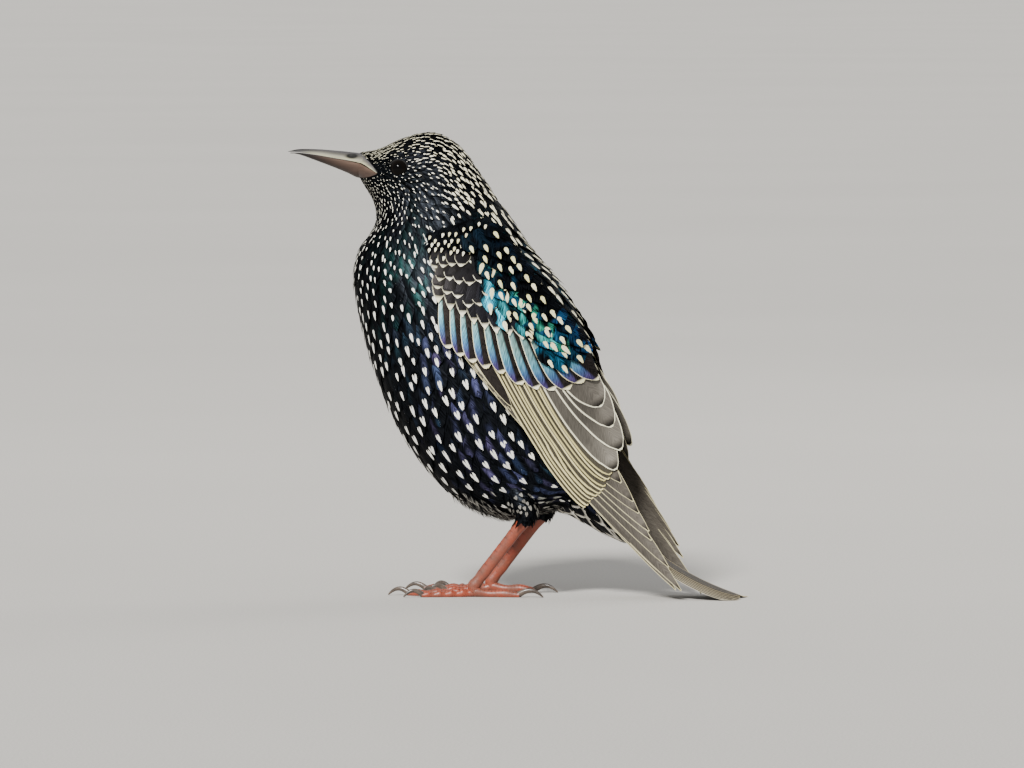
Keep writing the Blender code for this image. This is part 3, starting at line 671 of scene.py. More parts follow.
@dataclass(frozen=True)
class Region:
    """What the trunk's feathers are like at each station: spacing, build and marks, in millimetres.

    Every row gives a value at each station, from the first on, and the `back` rows are the values
    along the spine, which ease into the front ones round the body.
    """

    spacing: Row = (
        0.8, 0.95, 1.1, 1.25, 1.5, 1.85, 2.5, 3.5, 4.4, 5.1, 5.7, 5.7, 5.3, 4.6, 4.0,
    )
    back_spacing: Row = (
        0.8, 1.0, 1.5, 1.75, 1.85, 2.05, 2.6, 3.3, 3.9, 4.3, 4.6, 4.7, 4.6, 4.4, 4.0,
    )
    mark_long: Row = (
        0.4, 0.55, 0.7, 0.85, 0.95, 1.1, 1.4, 1.9, 2.6, 3.3, 3.7, 3.7, 3.3, 2.8, 2.4,
    )
    mark_wide: Row = (
        0.09, 0.1, 0.11, 0.13, 0.15, 0.19, 0.27, 0.4, 0.6, 0.82, 1.0, 1.04, 1.0, 0.9, 0.8,
    )
    back_long: Row = (
        0.7, 1.0, 1.5, 1.8, 2.0, 2.15, 2.35, 2.5, 2.6, 2.6, 2.4, 2.2, 2.0, 2.0, 2.0,
    )
    back_wide: Row = (0.15, 0.17, 0.17, 0.18, 0.32, 0.5, 0.56) + (0.6,) * 8
    lift: Row = (
        0.3, 0.42, 0.5, 0.55, 0.6, 0.7, 0.85, 1.0, 1.15, 1.25, 1.3, 1.3, 1.25, 1.2, 1.1,
    )

    def read(self, at: Array, phi: Array, front: Sequence[float], back: Sequence[float]) -> Array:
        """Blends a front row and a back row of knots by the angle round the body.

        Args:
            at: Station numbers.
            phi: Angles from the belly's midline.
            front: Knots for the belly and sides.
            back: Knots for the spine.

        Returns:
            The blended values.
        """
        share = smoothstep((0.5 - 0.5 * np.cos(phi) - 0.45) / 0.5)
        front, back = (np.interp(at, range(len(row)), row) for row in (front, back))
        return front * (1 - share) + back * share

    def gap(self, at: Array, phi: Array) -> Array:
        """Distance between neighbouring feathers."""
        return self.read(at, phi, self.spacing, self.back_spacing)

    def depth(self, at: Array) -> Array:
        """How far the skin lies inside the solids' surface."""
        return np.interp(at, range(len(self.lift)), self.lift)


def spiral_roots(place: Place, gap: Callable[[Array, Array], Array], first: float, last: float) -> Array:
    """Roots spread over a surface whose second coordinate runs round, on one golden-angle spiral.

    The area of each cell, over the square of the spacing there, says how many roots it holds.
    Their running sum along the first coordinate places root after root, and each stands a golden
    share of the way round from the one before, counted in the same sum round its ring.

    Args:
        place: The surface.
        gap: Spacing at a place.
        first: Where the roots start along the first coordinate.
        last: Where they end.

    Returns:
        Two coordinates for each root.
    """
    at, phi = np.linspace(first, last, 320), np.linspace(0, TURN, 161)
    grid_at, grid_phi = np.meshgrid(at, phi, indexing="ij")
    points = place(grid_at, grid_phi, np.zeros_like(grid_at))
    ahead, round_ = np.diff(points, axis=0)[:, 1:], np.diff(points, axis=1)[1:]
    area = np.linalg.norm(np.cross(ahead, round_), axis=-1)
    held = area / (0.87 * gap(grid_at[1:, 1:], grid_phi[1:, 1:]) ** 2)
    total = np.concatenate(((0,), np.cumsum(held.sum(axis=1))))
    number = np.arange(int(total[-1])) + 0.5
    spot = np.interp(number, total, at)
    ring = np.minimum(np.searchsorted(at, spot), len(held)) - 1
    share = (number * GOLDEN) % 1.0
    sums = np.hstack((np.zeros((len(held), 1)), np.cumsum(held, axis=1)))
    turn = np.empty_like(spot)
    for i in np.unique(ring):
        here = ring == i
        turn[here] = np.interp(share[here], sums[i] / sums[i, -1], phi)
    return np.stack((spot, turn), -1)


def spread_over(
    place: Place, roots: Array, length: Array, half: Array, rng: np.random.Generator,
    sway: Array | float = 0.0, loose: Array | float = 0.06,
) -> dict[str, Array]:
    """Turns lengths on a surface into steps of its two coordinates.

    The surface's own stretch at each root, measured with a small step along each coordinate,
    gives how far a millimetre reaches. The vane is then turned by its sway and a small chance
    angle.

    Args:
        place: The surface.
        roots: Two coordinates for each root.
        length: Length of each feather.
        half: Half-width of each feather.
        rng: Source of the chance angles.
        sway: Angle of each feather off the first coordinate's line, in radians.
        loose: Spread of the chance angle.

    Returns:
        The roots, the tips and the steps to the leading edge, by their names in Feathers.
    """
    zero, step = np.zeros(len(roots)), 0.02
    here = place(roots[:, 0], roots[:, 1], zero)
    by_first = (place(roots[:, 0] + step, roots[:, 1], zero) - here) / step
    by_second = (place(roots[:, 0], roots[:, 1] + step, zero) - here) / step
    size_1, size_2 = np.linalg.norm(by_first, axis=1), np.linalg.norm(by_second, axis=1)
    d1, d2 = by_first / size_1[:, None], by_second / size_2[:, None]
    skew = np.clip((d1 * d2).sum(1), -0.95, 0.95)
    angle = sway + rng.normal(0, loose, len(roots))

    def as_steps(ahead: Array, aside: Array) -> Array:
        """Steps in the two coordinates for a flat vector along and across the first one."""
        second = aside / np.sqrt(1 - skew**2)
        return np.stack(((ahead - second * skew) / size_1, second / size_2), -1)

    tips = roots + as_steps(np.cos(angle) * length, np.sin(angle) * length)
    side = as_steps(-np.sin(angle) * half, np.cos(angle) * half)
    return {"root": roots, "tip": tips, "side": side}


# Finishes


def add(
    tree: bpy.types.NodeTree, kind: str, inputs: Any = (), out: int | str | None = 0, **settings: Any
) -> Any:
    """Adds a node, with its settings, values and links.

    Args:
        tree: The tree to add to.
        kind: The node's type, without the word ShaderNode.
        inputs: A value or a socket for each input, in their order or by name or number.
        out: Number or name of the output that is wanted, or None for the node itself.
        settings: The node's own properties.

    Returns:
        The output, or the node.
    """
    node = tree.nodes.new("ShaderNode" + kind)
    for name, value in settings.items():
        setattr(node, name, value)
    for key, value in (inputs if isinstance(inputs, dict) else dict(enumerate(inputs))).items():
        if isinstance(value, bpy.types.NodeSocket):
            tree.links.new(value, node.inputs[key])
        elif node.inputs[key].type == "RGBA":
            node.inputs[key].default_value = (*value, 1.0)
        else:
            node.inputs[key].default_value = value
    return node if out is None else node.outputs[out]


def shape_curve(curve_node: Any, points: Line) -> Any:
    """Sets the points of a curve node, from the first to the last.

    Args:
        curve_node: A node with one curve.
        points: Its points.

    Returns:
        The node's first output.
    """
    curve = curve_node.mapping.curves[0]
    while len(curve.points) < len(points):
        curve.points.new(0.5, 0.5)
    for mark, place in zip(curve.points, points):
        mark.location = place
    curve_node.mapping.update()
    return curve_node.outputs[0]


@dataclass(frozen=True)
class Finish:
    """A real surface, given by the values and nodes that its shader takes."""

    name: str

    def build(self) -> bpy.types.Material:
        """Builds the material.

        Returns:
            The material, whose shader takes what `looks` gives.
        """
        material = bpy.data.materials.new(self.name)
        material.use_nodes = True
        material.node_tree.nodes.clear()
        node = partial(add, material.node_tree)
        node("OutputMaterial", (node("BsdfPrincipled", self.looks(node)),), None)
        return material

    def looks(self, node: Node) -> dict[str, Any]:
        """What the shader takes.

        Args:
            node: The adding function for the material's own tree.

        Returns:
            A value or an output for each of the shader's inputs that is set.
        """
        raise NotImplementedError


@dataclass(frozen=True)
class VaneFinish(Finish):
    """Keratin feather vane: melanin-dark barbs with a thin-film gloss, and unpigmented pale marks.

    The film gives the dark parts a coloured gloss, as on oxidised metal, so they take a high
    metallic value with a very dark tint. Pale parts are plain, rough keratin. A mark at the tip is
    shaped by a curve of its half-width; margins follow the edges of the web.
    """

    metallic: float = 0.85
    roughness: float = 0.40
    spotted: bool = True
    lead_margin: float = 0.0
    trail_margin: float = 0.0
    tip_margin: float = 0.0
    margin_fade: float = 0.0
    notch: float = 1.0
    streak_mm: float = 0.0
    gloss: tuple[tuple[float, str], ...] = ()
    inner: str | None = None
    inner_at: float = 0.0
    dusk: str | None = None
    # painted sheen: how far the dark tint is lightened over the trailing web and near the tip
    painted_sheen: float = 0.0
    contrast: Pair = (0.45, 1.7)
    barb_mm: float = 0.30
    patch_mm: float = 0.0
    ragged: float = 0.0

    def looks(self, node: Node) -> dict[str, Any]:
        """Barbs, tints and marks, from the maps web and edge and the attributes tint, mark and pale.

        Args:
            node: The adding function for the material's own tree.

        Returns:
            Outputs for the shader's inputs.
        """
        across, from_tip = self._millimetres(node, "web")
        off = node("Math", (across,), operation="ABSOLUTE")
        barb = self._barbs(node, off, from_tip)
        streak = node("MapRange", (barb, 0.35, 0.68, *self.contrast))
        dark = self._dark(node, across, off, from_tip)
        dark = node("VectorMath", (dark, streak), operation="MULTIPLY")
        masks = [self._spot(node, off, from_tip, barb)] if self.spotted else []
        masks += self._margins(node, from_tip, barb)
        mask = masks[0]
        for other in masks[1:]:
            mask = node("Math", (mask, other), operation="MAXIMUM")
        soft = node("MapRange", (barb, 0.2, 0.8, 0.8, 1.08))
        pale = node("VectorMath", (node("Attribute", attribute_name="pale"), soft), operation="MULTIPLY")
        colour = node("Mix", {"Factor": mask, "A": dark, "B": pale}, 2, data_type="RGBA")
        metal = node("MapRange", (mask, 0.0, 1.0, self.metallic, 0.0))
        rough = node("MapRange", (mask, 0.0, 1.0, self.roughness, 0.85))
        bump = node("Bump", {"Strength": 0.6, "Distance": 0.00008, "Height": barb})
        gloss = {"Metallic": metal, "Roughness": rough, "Specular Tint": (0.1, 0.1, 0.13)}
        return {"Base Color": colour, "Normal": bump, **gloss}

    @staticmethod
    def _millimetres(node: Node, name: str) -> Any:
        """The two numbers of one of the vane's maps, in millimetres."""
        both = node("VectorMath", (node("UVMap", uv_map=name), (MAP_MM,) * 3), operation="MULTIPLY")
        return node("SeparateXYZ", (both,), None).outputs[:2]

    def _dark(self, node: Node, across: Any, off: Any, from_tip: Any) -> Any:
        """The dark part's tint: each feather's own, or a gloss that changes towards the tip; some finishes
        add a painted sheen.

        Args:
            node: The material's adding function.
            across: Signed distance from the shaft, the leading web positive.
            off: Distance from the shaft.
            from_tip: Distance from the tip.

        Returns:
            The tint.
        """
        dark, shown = node("Attribute", attribute_name="tint"), []
        if self.streak_mm:
            shown.append(node("MapRange", (off, self.streak_mm * 0.3, self.streak_mm, 1.0, 0.0)))
        if self.patch_mm:
            here = node("Mapping", {"Vector": node("TexCoord", out="Object"), "Scale": (1.5, 1.5, 0.6)})
            noise = node("TexNoise", {"Vector": here, "Scale": 1000 / self.patch_mm, "Detail": 1.0})
            shown.append(node("MapRange", (noise, 0.40, 0.56)))
        for share in shown:
            dark = node("Mix", {"Factor": share, "A": BLACK, "B": dark}, 2, data_type="RGBA")
        if self.gloss:
            reach = self.gloss[-1][0]
            ramp = node("ValToRGB", (node("Math", (from_tip, reach), operation="DIVIDE"),), None)
            stops = ramp.color_ramp.elements
            while len(stops) < len(self.gloss):
                stops.new(0.5)
            for stop, (mm, code) in zip(stops, self.gloss):
                stop.position = mm / reach
                stop.color = (*srgb(code), 1)
            dark = ramp.outputs[0]
        if self.inner:
            outer = node("MapRange", (across, self.inner_at - 0.3, self.inner_at + 0.3))
            dark = node("Mix", {"Factor": outer, "A": srgb(self.inner), "B": dark}, 2, data_type="RGBA")
        # Painted sheen: the dark tint is lightened over the trailing web and towards the tip, a silvery
        # highlight painted into the colour.
        if self.painted_sheen:
            for distance, near, far in ((across, -0.4, 2.2), (from_tip, 4.0, 13.0)):
                sheen = node("MapRange", (distance, near, far, 1 + self.painted_sheen, 1.0))
                dark = node("VectorMath", (dark, sheen), operation="MULTIPLY")
        if self.dusk:
            near_tip = node("MapRange", (from_tip, 1.2, 3.4, 0.9, 0.0))
            dark = node("Mix", {"Factor": near_tip, "A": dark, "B": srgb(self.dusk)}, 2, data_type="RGBA")
        return dark

    def _barbs(self, node: Node, off: Any, from_tip: Any) -> Any:
        """Fine streaks that leave the shaft at a slant, drawn a little coarser than real barbs.

        Args:
            node: The material's adding function.
            off: Distance from the shaft.
            from_tip: Distance from the tip.

        Returns:
            The streaks' value.
        """
        lean = node("Math", (off, 2.2, from_tip), operation="MULTIPLY_ADD")
        fine = node("Math", (lean, 0.42 / self.barb_mm), operation="MULTIPLY")
        seed = node("Attribute", (), 2, attribute_name="seed")
        slow = node("Math", (from_tip, 0.35, seed), operation="MULTIPLY_ADD")
        return node("TexNoise", {"Vector": node("CombineXYZ", (fine, slow)), "Scale": 1.0, "Detail": 2.0})

    def _spot(self, node: Node, off: Any, from_tip: Any, barb: Any) -> Any:
        """The pale mark at the tip: half-width by the way from the tip, less a wedge at the shaft.

        Args:
            node: The material's adding function.
            off: Distance from the shaft.
            from_tip: Distance from the tip.
            barb: The barbs' streaks, which fray the mark's edge.

        Returns:
            The mark's share at each place.
        """
        long, wide = (node("Attribute", (), 2, attribute_name=f"mark_{way}") for way in ("long", "wide"))
        way = node("Math", (from_tip, long), operation="DIVIDE", use_clamp=True)
        body, notch = (
            shape_curve(node("FloatCurve", {1: way}, None), points)
            for points in (
                ((0.0, 0.28), (0.22, 0.62), (0.55, 0.94), (0.76, 1.0), (0.9, 0.72), (1.0, 0.0)),
                ((0.0, 0.0), (0.35, 0.0), (0.62, 0.1), (0.85, 0.34), (1.0, 0.6)),
            )
        )
        cleft = node("MapRange", (wide, 0.3, 0.9, 0.0, self.notch))
        notch = node("Math", (notch, cleft), operation="MULTIPLY")
        share = node("Math", (off, wide), operation="DIVIDE")
        body = node("Math", (body, node("MapRange", (barb, 0.3, 0.7, 0.86, 1.1))), operation="MULTIPLY")
        outer = node("MapRange", (node("Math", (body, share), operation="SUBTRACT"), 0.02, 0.2))
        inner = node("MapRange", (node("Math", (share, notch), operation="SUBTRACT"), -0.10, 0.10))
        return node("Math", (outer, inner), operation="MINIMUM")

    def _margins(self, node: Node, from_tip: Any, barb: Any) -> list[Any]:
        """Pale margins: a band of set width along each edge and round the tip.

        Args:
            node: The material's adding function.
            from_tip: Distance from the tip.
            barb: The barbs' streaks, which fray the margin's inner edge.

        Returns:
            The share of each margin that there is.
        """
        widths, margins = (self.lead_margin, self.trail_margin, self.tip_margin), []
        if not any(widths):
            return margins
        for distance, width in zip((*self._millimetres(node, "edge"), from_tip), widths):
            if not width:
                continue
            if self.ragged:
                distance = node("Math", (barb, self.ragged, distance), operation="MULTIPLY_ADD")
            band = node("MapRange", (distance, width * 0.75, width * 1.25, 1.0, 0.0))
            if self.margin_fade:
                fade = node("MapRange", (from_tip, self.margin_fade * 0.5, self.margin_fade, 1.0, 0.0))
                band = node("Math", (band, fade), operation="MULTIPLY")
            margins.append(band)
        return margins


@dataclass(frozen=True)
class MottledFinish(Finish):
    """Organic surface with two tints mixed by noise: skin, horn or paper, with its own gloss.

    Fine noise gives the grain. A third tint can lie in the seams between scales, which the
    attribute scute of the mesh gives.
    """

    base: str
    second: str
    seams: str | None = None
    roughness: float = 0.45
    patch_mm: float = 3.0
    grain_mm: float = 0.4
    bump_mm: float = 0.05
    subsurface: float = 0.0
    specular: float = 0.5

    def looks(self, node: Node) -> dict[str, Any]:
        """Base colour, grain and gloss of the surface.

        Args:
            node: The adding function for the material's own tree.

        Returns:
            Outputs and values for the shader's inputs.
        """
        where = node("TexCoord", out="Object")
        broad = node("TexNoise", {"Vector": where, "Scale": 1000 / self.patch_mm, "Detail": 3.0})
        fine = node("TexNoise", {"Vector": where, "Scale": 1000 / self.grain_mm, "Detail": 2.0})
        share = node("MapRange", (broad, 0.35, 0.65))
        tints = {"Factor": share, "A": srgb(self.base), "B": srgb(self.second)}
        colour = node("Mix", tints, 2, data_type="RGBA")
        if self.seams:
            laid = node("Attribute", (), 2, attribute_name="scute")
            colour = node("Mix", {"Factor": laid, "A": colour, "B": srgb(self.seams)}, 2, data_type="RGBA")
        worn = node("MapRange", (fine, 0.3, 0.7, 0.86, 1.12))
        return {
            "Base Color": node("VectorMath", (colour, worn), operation="MULTIPLY"),
            "Roughness": node("MapRange", (fine, 0.3, 0.7, self.roughness * 0.85, self.roughness * 1.2)),
            "Normal": node("Bump", {"Strength": 0.6, "Distance": self.bump_mm * MM, "Height": fine}),
            "Specular IOR Level": self.specular,
            "Subsurface Weight": self.subsurface,
            "Subsurface Radius": (0.002, 0.0008, 0.0005),
        }


@dataclass(frozen=True)
class SkinFinish(Finish):
    """Dark skin under down, with the same pale spots as the coat over it.

    Round cells of a few millimetres, seeded by place, stand for the marks between the feathers.
    """

    pale: str = "5E5A50"
    spacing_mm: float = 3.0

    def looks(self, node: Node) -> dict[str, Any]:
        """Base colour, grain and gloss of the surface.

        Args:
            node: The adding function for the material's own tree.

        Returns:
            Outputs and values for the shader's inputs.
        """
        where = node("TexCoord", out="Object")
        cells = node("TexVoronoi", {"Vector": where, "Scale": 1000 / self.spacing_mm})
        share = node("MapRange", (cells, 0.12, 0.2, 1.0, 0.0))
        down = node("TexNoise", {"Vector": where, "Scale": 1800.0, "Detail": 3.0})
        tints = {"Factor": share, "A": srgb("0B0C0E"), "B": srgb(self.pale)}
        return {
            "Base Color": node("Mix", tints, 2, data_type="RGBA"),
            "Normal": node("Bump", {"Strength": 0.7, "Distance": 0.0002, "Height": down}),
            "Roughness": 0.75,
            "Specular IOR Level": 0.15,
        }


@dataclass(frozen=True)
class HornFinish(Finish):
    """Bill keratin: satin horn in thin layers, which show as faint streaks along its length."""

    base: str
    pale: str
    roughness: float = 0.48

    def looks(self, node: Node) -> dict[str, Any]:
        """Horn that is paler, duskier or darker by the attributes pale_edge, dusky and pit; pit is painted
        shade in the nostril's hollow.

        Args:
            node: The adding function for the material's own tree.

        Returns:
            Outputs for the shader's inputs.
        """
        layers = node("Mapping", {"Vector": node("TexCoord", out="Object"), "Scale": (120.0, 500.0, 1500.0)})
        streak = node("TexNoise", {"Vector": layers, "Scale": 1.0, "Detail": 4.0})
        colour = srgb(self.base)
        # pit paints the shade inside the nostril's hollow near-black.
        for name, tint in (("pale_edge", self.pale), ("dusky", "141213"), ("pit", "0C0A09")):
            mask = node("Attribute", (), 2, attribute_name=name)
            colour = node("Mix", {"Factor": mask, "A": colour, "B": srgb(tint)}, 2, data_type="RGBA")
        tone = node("MapRange", (streak, 0.3, 0.7, 0.8, 1.2))
        return {
            "Base Color": node("VectorMath", (colour, tone), operation="MULTIPLY"),
            "Roughness": node("MapRange", (streak, 0.3, 0.7, self.roughness, self.roughness + 0.12)),
            "Normal": node("Bump", {"Strength": 0.4, "Distance": 0.00006, "Height": streak}),
            "Specular IOR Level": 0.35,
        }


@dataclass(frozen=True)
class EyeFinish(Finish):
    """Wet cornea over a very dark brown iris and a black pupil: mirror-bright with deep colour."""

    def looks(self, node: Node) -> dict[str, Any]:
        """Pupil, iris and rim by the attribute polar, the angle from the eye's outward axis.

        Args:
            node: The adding function for the material's own tree.

        Returns:
            Outputs for the shader's inputs.
        """
        polar, colour = node("Attribute", (), 2, attribute_name="polar"), srgb("050404")
        for start, end, tint in ((0.145, 0.17, "080503"), (0.30, 0.34, "060505")):
            share = node("MapRange", (polar, start, end))
            colour = node("Mix", {"Factor": share, "A": colour, "B": srgb(tint)}, 2, data_type="RGBA")
        return {"Base Color": colour, "Roughness": 0.03, "Specular IOR Level": 0.08}


# The body's coat

BLACK, GREEN, TEAL, BLUE, PURPLE, WHITE, CREAM, BUFF, UNDERSIDE_SHADE_GREY = map(
    srgb, ("0E1013", "173A38", "1F6670", "30486C", "484060", "F8F6EE", "F2ECD0", "DCD2A0", "64665F")
)
COAT_FINISH = VaneFinish(
    "black_barbs_with_pale_tips", streak_mm=1.5, metallic=0.8, contrast=(0.25, 2.2), patch_mm=8.0
)


@dataclass
class BodyCoat:
    """Skin and contour feathers of the head, neck, breast, belly and back."""

    trunk: Trunk
    region: Region = field(default_factory=Region)
    eye: Pair = (2.15, 1.74)
    seed: int = 11

    def build_skin(self) -> None:
        """Lays the one skin of the trunk under the feathers, as a grid round the body."""
        at, phi = ring_grid(np.linspace(0, self.trunk.last + 0.8, 92), 72)
        mesh = tube_mesh("body_skin", self.trunk.point(at, phi, -self.region.depth(at)))
        nodes = ("head", "neck", "torso", "thigh_left", "thigh_right")
        show(mesh, SkinFinish("down_on_dark_skin").build(), nodes)

    def build(self) -> None:
        """Sets out the roots, then builds a coat piece for each part of the body."""
        rng = np.random.default_rng(self.seed)
        roots = spiral_roots(self.trunk.point, self.region.gap, 0.0, self.trunk.last - 0.15)
        roots = np.clip(roots + rng.normal(0, (0.025, 0.018), roots.shape), 0, None)
        roots = roots[~Bill.covers(roots[:, 0], off_belly(roots[:, 1]))]
        feathers = self._feathers(roots, rng)
        at, front = roots[:, 0], np.cos(roots[:, 1]) > -0.25
        parts = {
            "coat_face": at < 2.6,
            "coat_head": (at >= 2.6) & (at < 5.0),
            "coat_neck": (at >= 5.0) & (at < 7.2),
            "coat_breast": (at >= 7.2) & (at < 10.2) & front,
            "coat_belly": (at >= 10.2) & front,
            "coat_back": (at >= 7.2) & ~front,
        }
        material = COAT_FINISH.build()
        for name, chosen in parts.items():
            show(feathers.pick(chosen).mesh(name, self.trunk.point, rng), material)

    def _feathers(self, roots: Array, rng: np.random.Generator) -> Feathers:
        """Gives every root its feather: size, lie, lift, mark and tint.

        Args:
            roots: Station number and angle of each root.
            rng: Source of the small differences.

        Returns:
            The whole coat.
        """
        (at, phi), n = roots.T, len(roots)
        gap, depth, turn = self.region.gap(at, phi), self.region.depth(at), off_belly(phi)
        length = gap * np.interp(at, (0, 3, 7, 14), (2.2, 2.3, 2.6, 2.7)) * rng.normal(1, 0.035, n)
        half = gap * 0.68 * rng.normal(1, 0.05, n)
        lift = depth * rng.normal(1.0, 0.12, n)
        cape = smoothstep((turn - np.interp(at, (6.3, 7.4), (1.55, 1.95))) / 0.45)
        cape = cape * smoothstep((at - 5.4) / 0.9) * smoothstep((11.2 - at) / 2.2)
        nape = bell(turn, 1.75, 0.55) * np.interp(at, (2.0, 3.0, 5.3, 6.5), (0.0, 1.0, 0.9, 0.0))
        sway = 0.75 * nape - 0.3 * cape * bell(turn, 2.45, 0.3) * (at > 6.8)
        sway = sway * np.sign(math.pi - phi)
        loose = np.interp(at, (0, 5, 8), (0.12, 0.1, 0.04))
        lie = spread_over(self.trunk.point, roots, length * (1 + 0.2 * cape), half, rng, sway, loose)
        front = smoothstep((np.cos(phi) + 0.2) / 0.5)
        hackle = front * np.interp(at, (0, 2, 4, 7, 8.5, 14), (0.4, 0.8, 1.0, 0.8, 0.25, 0.1))
        mantle = (1 - front) * np.interp(at, (4, 7, 9, 14), (0.3, 0.7, 0.6, 0.3))
        tilt = rng.normal(0, 0.05, n)
        return Feathers(
            **lie, length=length, half=half, patch=self.trunk.unwrap(at, phi),
            low=-depth - 0.12 + 0.8 * cape, high=-depth + lift + 2.8 * cape, tilt=tilt, arch=lift * 0.35,
            thick=0.10 + 0.05 * gap, point=np.clip(hackle + mantle, 0, 1), curl=0.12,
            extra=self._marks(at, phi, rng),
        )

    def _marks(self, at: Array, phi: Array, rng: np.random.Generator) -> dict[str, Array]:
        """Length, width and tints of the marks, and the gloss of the dark part.

        Args:
            at: Station numbers.
            phi: Angles round the body.
            rng: Source of the small differences.

        Returns:
            Values by attribute name.
        """
        n, region, turn = len(at), self.region, off_belly(phi)
        uneven = np.interp(at, (0, 5, 8), (0.24, 0.2, 0.12))
        long = region.read(at, phi, region.mark_long, region.back_long)
        wide = region.read(at, phi, region.mark_wide, region.back_wide)
        long, wide = (size * np.exp(rng.normal(0, 1, n) * uneven) for size in (long, wide))
        quiet = 1 - 0.9 * bell(at, 1.25, 0.55) * bell(turn, 1.62, 0.36)  # the lore
        quiet = quiet - 0.3 * bell(at, 2.9, 0.7) * bell(turn, 1.35, 0.32)  # the ear
        quiet = quiet - 0.9 * bell(at, self.eye[0], 0.36) * bell(turn, self.eye[1], 0.36)
        quiet = np.clip(quiet - 0.35 * bell(at, 4.6, 1.1) * bell(turn, 1.5, 0.5), 0.0, 1)  # the neck
        missing = rng.random(n) < np.interp(at, (0, 5, 8, 9.5, 11, 14), (0.06, 0.08, 0.04, 0.1, 0.25, 0.4))
        wide = wide * quiet * ~missing
        long = long * np.maximum(quiet, 0.3)
        dorsal = smoothstep((-np.cos(phi) - 0.1) / 0.6)
        # Share of the lower belly's underside, where the marks take painted shade.
        low = np.interp(at, (9.8, 12.2), (0.0, 0.85)) * smoothstep((np.cos(phi) + 0.3) / 0.4)
        pale = mixed(WHITE, CREAM, dorsal * 0.6 + np.interp(at, (0, 4, 7), (0.6, 0.3, 0.0)))
        pale = mixed(pale, BUFF, dorsal * np.interp(at, (3, 5, 9, 14), (0.1, 0.25, 0.5, 0.4)))
        pale = mixed(pale, BLACK * 8, 0.45 * np.interp(at, (0, 1.2, 2.6), (1, 0.7, 0)))
        # Painted shade: marks on the lower belly's underside are mixed towards grey, by a share that also
        # varies at random from feather to feather.
        pale = mixed(pale, UNDERSIDE_SHADE_GREY, low * rng.random(n) + 0.15 * low)
        chance = rng.random((3, n)) ** 0.9
        flank = bell(turn, 1.4, 0.42) * np.interp(at, (7.5, 8.8, 11.5, 13), (0.0, 1.4, 1.3, 0.3))
        breast = bell(turn, 1.1, 0.45) * np.interp(at, (4, 7, 8.5, 10.5), (0.1, 0.7, 0.7, 0.0))
        mantle = dorsal * np.interp(at, (5.5, 7, 9.5, 12), (0.0, 0.55, 0.7, 0.3))
        tint = mixed(BLACK, GREEN, breast * chance[0])
        tint = mixed(tint, PURPLE, 0.9 * flank * chance[1])
        tint = mixed(tint, TEAL, mantle * chance[2])
        tint = mixed(tint, BLUE, 0.35 * chance[0] * np.clip(flank + mantle, 0, 1))
        light = rng.normal(1, 0.15, n).clip(0.6, 1.5) * np.interp(at, (4.5, 7.5), (0.3, 1.0))
        tint = tint * light[:, None]
        return {"mark_long": long, "mark_wide": np.maximum(wide, 1e-3), "pale": pale, "tint": tint}

    def build_fringe(self) -> None:
        """Loose grey barbs on the lower belly and round the vent, where the down shows."""
        rng = np.random.default_rng(self.seed + 1)

        def gap(at: Array, phi: Array) -> Array:
            """Spacing of the loose barbs, which keep to the underside."""
            return 1.3 + 12 * smoothstep((1.1 - np.cos(phi)) / 0.35 - 1.0) + 0 * at

        roots = spiral_roots(self.trunk.point, gap, 11.9, 13.9)
        n = len(roots)
        length, half = rng.uniform(4.0, 7.0, n), rng.uniform(0.2, 0.42, n)
        lie = spread_over(self.trunk.point, roots, length, half, rng, loose=0.3)
        high, chance = rng.uniform(0.2, 1.7, n), rng.random(n)
        fringe = Feathers(
            **lie, length=length, half=half, patch=self.trunk.unwrap(*roots.T), low=-0.9, high=high,
            arch=0.05, thick=0.08, point=1.0, bow=1.0, grid=(5, 3),
            extra={
                "tint": BLACK * 2, "mark_wide": 2.0, "mark_long": length * 0.8,
                "pale": mixed("A6A39B", "34322F", chance),
            },
        )
        show(fringe.mesh("coat_vent_fringe", self.trunk.point, rng), COAT_FINISH.build())


